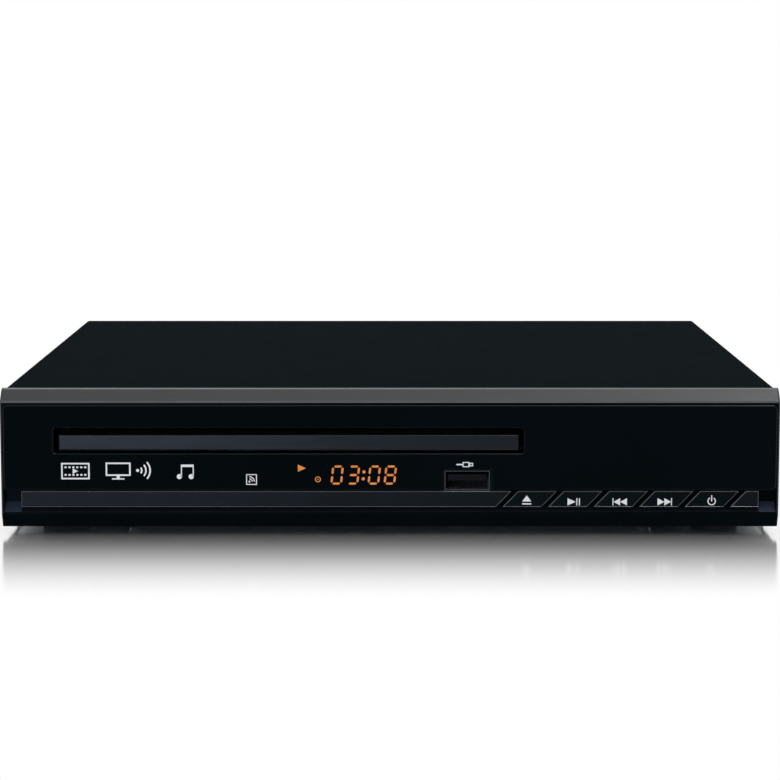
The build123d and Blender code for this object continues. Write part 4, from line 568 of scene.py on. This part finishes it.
def segment(letter, left):
    """One leaning segment of a clock digit, with pointed ends."""
    half = segment_width / 2
    right = left + digit_width
    middle = digit_base + digit_height / 2
    top = digit_base + digit_height
    level_heights = {"a": top - half, "g": middle, "d": digit_base + half}
    if letter in level_heights:
        z = level_heights[letter]
        start = left + half + segment_gap
        end = right - half - segment_gap
        points = [(start, z), (start + half, z - half), (end - half, z - half)]
        points += [(end, z), (end - half, z + half), (start + half, z + half)]
    else:
        x = right - half if letter in "bc" else left + half
        low = digit_base + half + segment_gap if letter in "ce" else middle + segment_gap
        high = middle - segment_gap if letter in "ce" else top - half - segment_gap
        points = [(x, low), (x + half, low + half), (x + half, high - half)]
        points += [(x, high), (x - half, high - half), (x - half, low + half)]
    return [(x + (z - digit_base) * digit_lean_share, z) for x, z in points]


def clock():
    """Lit digits with their colon, and the marks for play and disc."""
    shapes = [play_mark]
    for left, number in zip(digit_lefts, clock_text):
        shapes += [segment(letter, left) for letter in lit_segments[number]]
    for rise in colon_rises:
        shapes += dot((colon_x + rise * digit_lean_share, digit_base + rise), colon_radius)
    outer, inner = disc_mark_radii["outer"], disc_mark_radii["inner"]
    shapes += ring(disc_mark, (outer + inner) / 2, outer - inner)
    return shapes + dot(disc_mark, disc_mark_radii["core"])


def film():
    """A strip of film with its holes and an arrow."""
    left, low, right, high = around(film_middle, film_width, film_height)
    shapes = outline(left, low, right, high, line_width)
    for row in (low + film_hole_row, high - film_hole_row):
        for hole in range(film_holes):
            x = film_middle[0] + (hole - (film_holes - 1) / 2) * film_hole_pitch
            shapes += panel(*around((x, row), film_hole_width, film_hole_height))
    x, z = film_middle
    half = film_arrow_half
    return shapes + [[(x - half, z - half), (x - half, z + half), (x + half, z)]]


def screen():
    """A screen on its stand."""
    left, low, right, high = around(screen_middle, screen_width, screen_height)
    x = screen_middle[0]
    shapes = outline(left, low, right, high, line_width)
    shapes += panel(x - line_width, low - stand_height, x + line_width, low)
    foot_top = low - stand_height
    half = stand_foot_width / 2
    return shapes + panel(x - half, foot_top - stand_foot_height, x + half, foot_top)


def waves():
    """Sound waves that spread to the right."""
    shapes = dot(wave_middle, line_width)
    for radius in wave_radii:
        shapes += ring(wave_middle, radius, line_width, -wave_half_angle, wave_half_angle)
    return shapes


def note():
    """Two joined notes."""
    x, z = note_head
    stem_right = note_head_radius
    stem_left = stem_right - note_stem_width
    beam_low = z + note_stem_height - note_beam_height
    shapes = []
    for shift in (0, note_spacing):
        shapes += dot((x + shift, z), note_head_radius)
        shapes += panel(x + shift + stem_left, z, x + shift + stem_right, beam_low)
    return shapes + panel(x + stem_left, beam_low, x + note_spacing + stem_right, z + note_stem_height)


def remote():
    """A framed sign for the receiver of the remote control."""
    left, low, right, high = around(remote_middle, remote_size, remote_size)
    source = (left + remote_margin, low + remote_margin)
    shapes = outline(left, low, right, high, fine_line) + dot(source, fine_line)
    for radius in remote_radii:
        shapes += ring(source, radius, fine_line, 0, 90)
    return shapes


def plug():
    """A data plug with its cable."""
    x, z = plug_middle
    body_left = x - plug_body_length / 2
    body_right = x + plug_body_length / 2
    cable_middle = (body_left - plug_cable_length / 2, z)
    cable = panel(*around(cable_middle, plug_cable_length, plug_cable_width))
    body = outline(*around(plug_middle, plug_body_length, plug_body_height), fine_line)
    tip_middle = (body_right + plug_tip_length / 2, z)
    return cable + body + outline(*around(tip_middle, plug_tip_length, plug_tip_height), fine_line)


def key_shapes(kind, x, z):
    """The standard sign of a key, around its middle."""
    low, high = z - sign_half, z + sign_half
    if kind == "eject":
        base = z + eject_base
        bar_top = z + eject_bar_top
        triangle = [(x - eject_half, base), (x + eject_half, base), (x, z + eject_top)]
        return [triangle] + panel(x - eject_half, bar_top - eject_bar_height, x + eject_half, bar_top)
    if kind == "play":
        shapes = [[(x + play_left, low), (x + play_right, z), (x + play_left, high)]]
        for left in pause_lefts:
            shapes += panel(x + left, low, x + left + sign_bar, high)
        return shapes
    if kind == "power":
        bar = panel(x - sign_bar / 2, z + power_bar_low, x + sign_bar / 2, z + power_bar_high)
        return ring((x, z + power_lift), power_radius, power_line, *power_arc) + bar
    turn = 1 if kind == "next" else -1
    shapes = []
    for left in (skip_left, skip_left + skip_length):
        base, tip = x + turn * left, x + turn * (left + skip_length)
        shapes.append([(base, low), (tip, z), (base, high)])
    ends = sorted([x + turn * skip_bar_left, x + turn * (skip_bar_left + sign_bar)])
    return shapes + panel(ends[0], low, ends[1], high)


window_face = box_mm("front_window")[0][1]
sign("display_segments", clock(), window_face, "casing", amber_lit)
pictograms = film() + screen() + waves() + note() + remote() + plug()
sign("window_pictograms", pictograms, window_face, "casing", ink_white)
for kind, sign_x in key_sign_x.items():
    shapes = key_shapes(kind, sign_x, trim_low[2] + key_sign_rise)
    key_face = box_mm(f"{kind}_button")[0][1]
    sign(f"{kind}_sign", shapes, key_face, f"{kind}_key", ink_white)


def loose_boxes(mesh):
    """Lowest and highest corner of each separate solid in a mesh."""
    build = bmesh.new()
    build.from_mesh(mesh)
    left = set(build.verts)
    boxes = []
    while left:
        found = [left.pop()]
        for vertex in found:
            for link in vertex.link_edges:
                other = link.other_vert(vertex)
                if other in left:
                    left.discard(other)
                    found.append(other)
        corners = [vertex.co for vertex in found]
        low = Vector([min(corner[axis] for corner in corners) for axis in range(3)])
        high = Vector([max(corner[axis] for corner in corners) for axis in range(3)])
        boxes.append((low, high))
    build.free()
    return boxes


def cross_corners(middle, across, up):
    """The twelve corners of a flat cross around its middle."""
    half, reach = recess_half_width * mm, recess_reach * mm
    corners = []
    for quarter in range(4):
        cosine, sine = math.cos(quarter * math.pi / 2), math.sin(quarter * math.pi / 2)
        for a, b in ((half, half), (half, reach), (-half, reach)):
            corners.append(middle + across * (a * cosine - b * sine) + up * (a * sine + b * cosine))
    return corners


def screw_recess_shades(name, node, body):
    """Crosses of painted shade, for the recesses, on the heads of screws that look to the sides or to the
    rear.
    """
    build = bmesh.new()
    up = Vector((0, 0, 1))
    for low, high in loose_boxes(frame["nodes"][node].data):
        middle = (low + high) / 2
        outward = Vector((0, 1, 0))
        if abs(middle.x) > side_screw_limit * mm:
            outward = Vector((math.copysign(1, middle.x), 0, 0))
        head = middle + outward * abs(outward.dot(high - low)) / 2
        corners = cross_corners(head, up.cross(outward), up)
        face = build.faces.new([build.verts.new(corner) for corner in corners])
        grown = bmesh.ops.extrude_face_region(build, geom=[face], use_keep_orig=True)
        lifted = [item for item in grown["geom"] if isinstance(item, bmesh.types.BMVert)]
        bmesh.ops.translate(build, verts=lifted, vec=outward * recess_lift * mm)
    piece_of(name, build, body, recess_painted_shade)


# Painted shade for the cover screws' cross recesses
screw_recess_shades("cover_screw_recesses", "cover_screws", "casing")

# Camera
lens = bpy.data.cameras.new("camera")
lens.lens = camera_lens
lens.sensor_width = sensor_width
lens.sensor_fit = "HORIZONTAL"
camera = bpy.data.objects.new("camera", lens)
camera.location = metres((0, camera_y, camera_z))
camera.rotation_euler = (math.radians(90 - camera_tilt), 0, 0)
bpy.context.scene.collection.objects.link(camera)
bpy.context.scene.camera = camera


def softbox(name, place, aim, size, power, colour, reflected_only=False):
    """A rectangular studio lamp, or a card that only shows in reflections, turned to a point."""
    lamp = bpy.data.lights.new(name, "AREA")
    lamp.shape = "RECTANGLE"
    lamp.size, lamp.size_y = metres(size)
    lamp.energy = power
    lamp.color = colour
    made = bpy.data.objects.new(name, lamp)
    made.location = metres(place)
    look = Vector(metres(aim)) - made.location
    made.rotation_euler = look.to_track_quat("-Z", "Y").to_euler()
    made.visible_diffuse = not reflected_only
    bpy.context.scene.collection.objects.link(made)


softbox("top_lamp", **top_lamp, power=top_power, colour=top_colour)
softbox("left_lamp", **left_lamp, power=left_power, colour=left_colour)
softbox("left_card", **left_lamp, power=left_card_power, colour=left_colour, reflected_only=True)
softbox("right_card", **right_card, power=right_card_power, colour=top_colour, reflected_only=True)


def calculate(nodes, links, operation, first, second):
    """A node that works on one or two values; either may be a plain number."""
    made = nodes.new("ShaderNodeMath")
    made.operation = operation
    for socket, value in zip(made.inputs, (first, second)):
        if isinstance(value, (int, float)):
            socket.default_value = value
        else:
            links.new(value, socket)
    return made.outputs["Value"]


def floor_material():
    """Pale polish that keeps shadow and reflection near the object and fades to plain white."""
    made, nodes, links, principled, place = shader("floor_white")
    principled.inputs["Base Color"].default_value = (*floor_colour, 1)
    principled.inputs["Metallic"].default_value = floor_polish_share
    principled.inputs["Roughness"].default_value = floor_roughness
    axes = nodes.new("ShaderNodeSeparateXYZ")
    links.new(place, axes.inputs["Vector"])
    reaches = []
    for axis, clear in floor_clear.items():
        distance = calculate(nodes, links, "ABSOLUTE", axes.outputs[axis], 0)
        reaches.append(calculate(nodes, links, "SUBTRACT", distance, clear * mm))
    fade = nodes.new("ShaderNodeMapRange")
    fade.interpolation_type = "SMOOTHSTEP"
    fade.inputs["From Max"].default_value = floor_fade * mm
    links.new(calculate(nodes, links, "MAXIMUM", *reaches), fade.inputs["Value"])
    white = nodes.new("ShaderNodeEmission")
    mix = nodes.new("ShaderNodeMixShader")
    links.new(fade.outputs["Result"], mix.inputs["Fac"])
    links.new(principled.outputs["BSDF"], mix.inputs[1])
    links.new(white.outputs["Emission"], mix.inputs[2])
    links.new(mix.outputs["Shader"], nodes["Material Output"].inputs["Surface"])
    return made


floor_mesh = bpy.data.meshes.new("floor")
floor_corners = [(-floor_half, -floor_half), (floor_half, -floor_half)]
floor_corners += [(floor_half, floor_half), (-floor_half, floor_half)]
floor_mesh.from_pydata([metres((x, y, 0)) for x, y in floor_corners], [], [(0, 1, 2, 3)])
floor_mesh.materials.append(floor_material())
floor = bpy.data.objects.new("floor", floor_mesh)
bpy.context.scene.collection.objects.link(floor)

# White room: full strength where camera, metal or glass see it, less as light on the object
world = bpy.data.worlds.new("studio")
bpy.context.scene.world = world
world.use_nodes = True
nodes, links = world.node_tree.nodes, world.node_tree.links
backdrop = nodes["Background"]
backdrop.inputs["Color"].default_value = (1, 1, 1, 1)
path = nodes.new("ShaderNodeLightPath")
seen = calculate(nodes, links, "MAXIMUM", path.outputs["Is Camera Ray"], path.outputs["Is Glossy Ray"])
seen = calculate(nodes, links, "MAXIMUM", seen, path.outputs["Is Transmission Ray"])
level = nodes.new("ShaderNodeMapRange")
level.inputs["To Min"].default_value = room_level
level.inputs["To Max"].default_value = backdrop_level
links.new(seen, level.inputs["Value"])
links.new(level.outputs["Result"], backdrop.inputs["Strength"])

bpy.context.scene.view_settings.view_transform = "Standard"
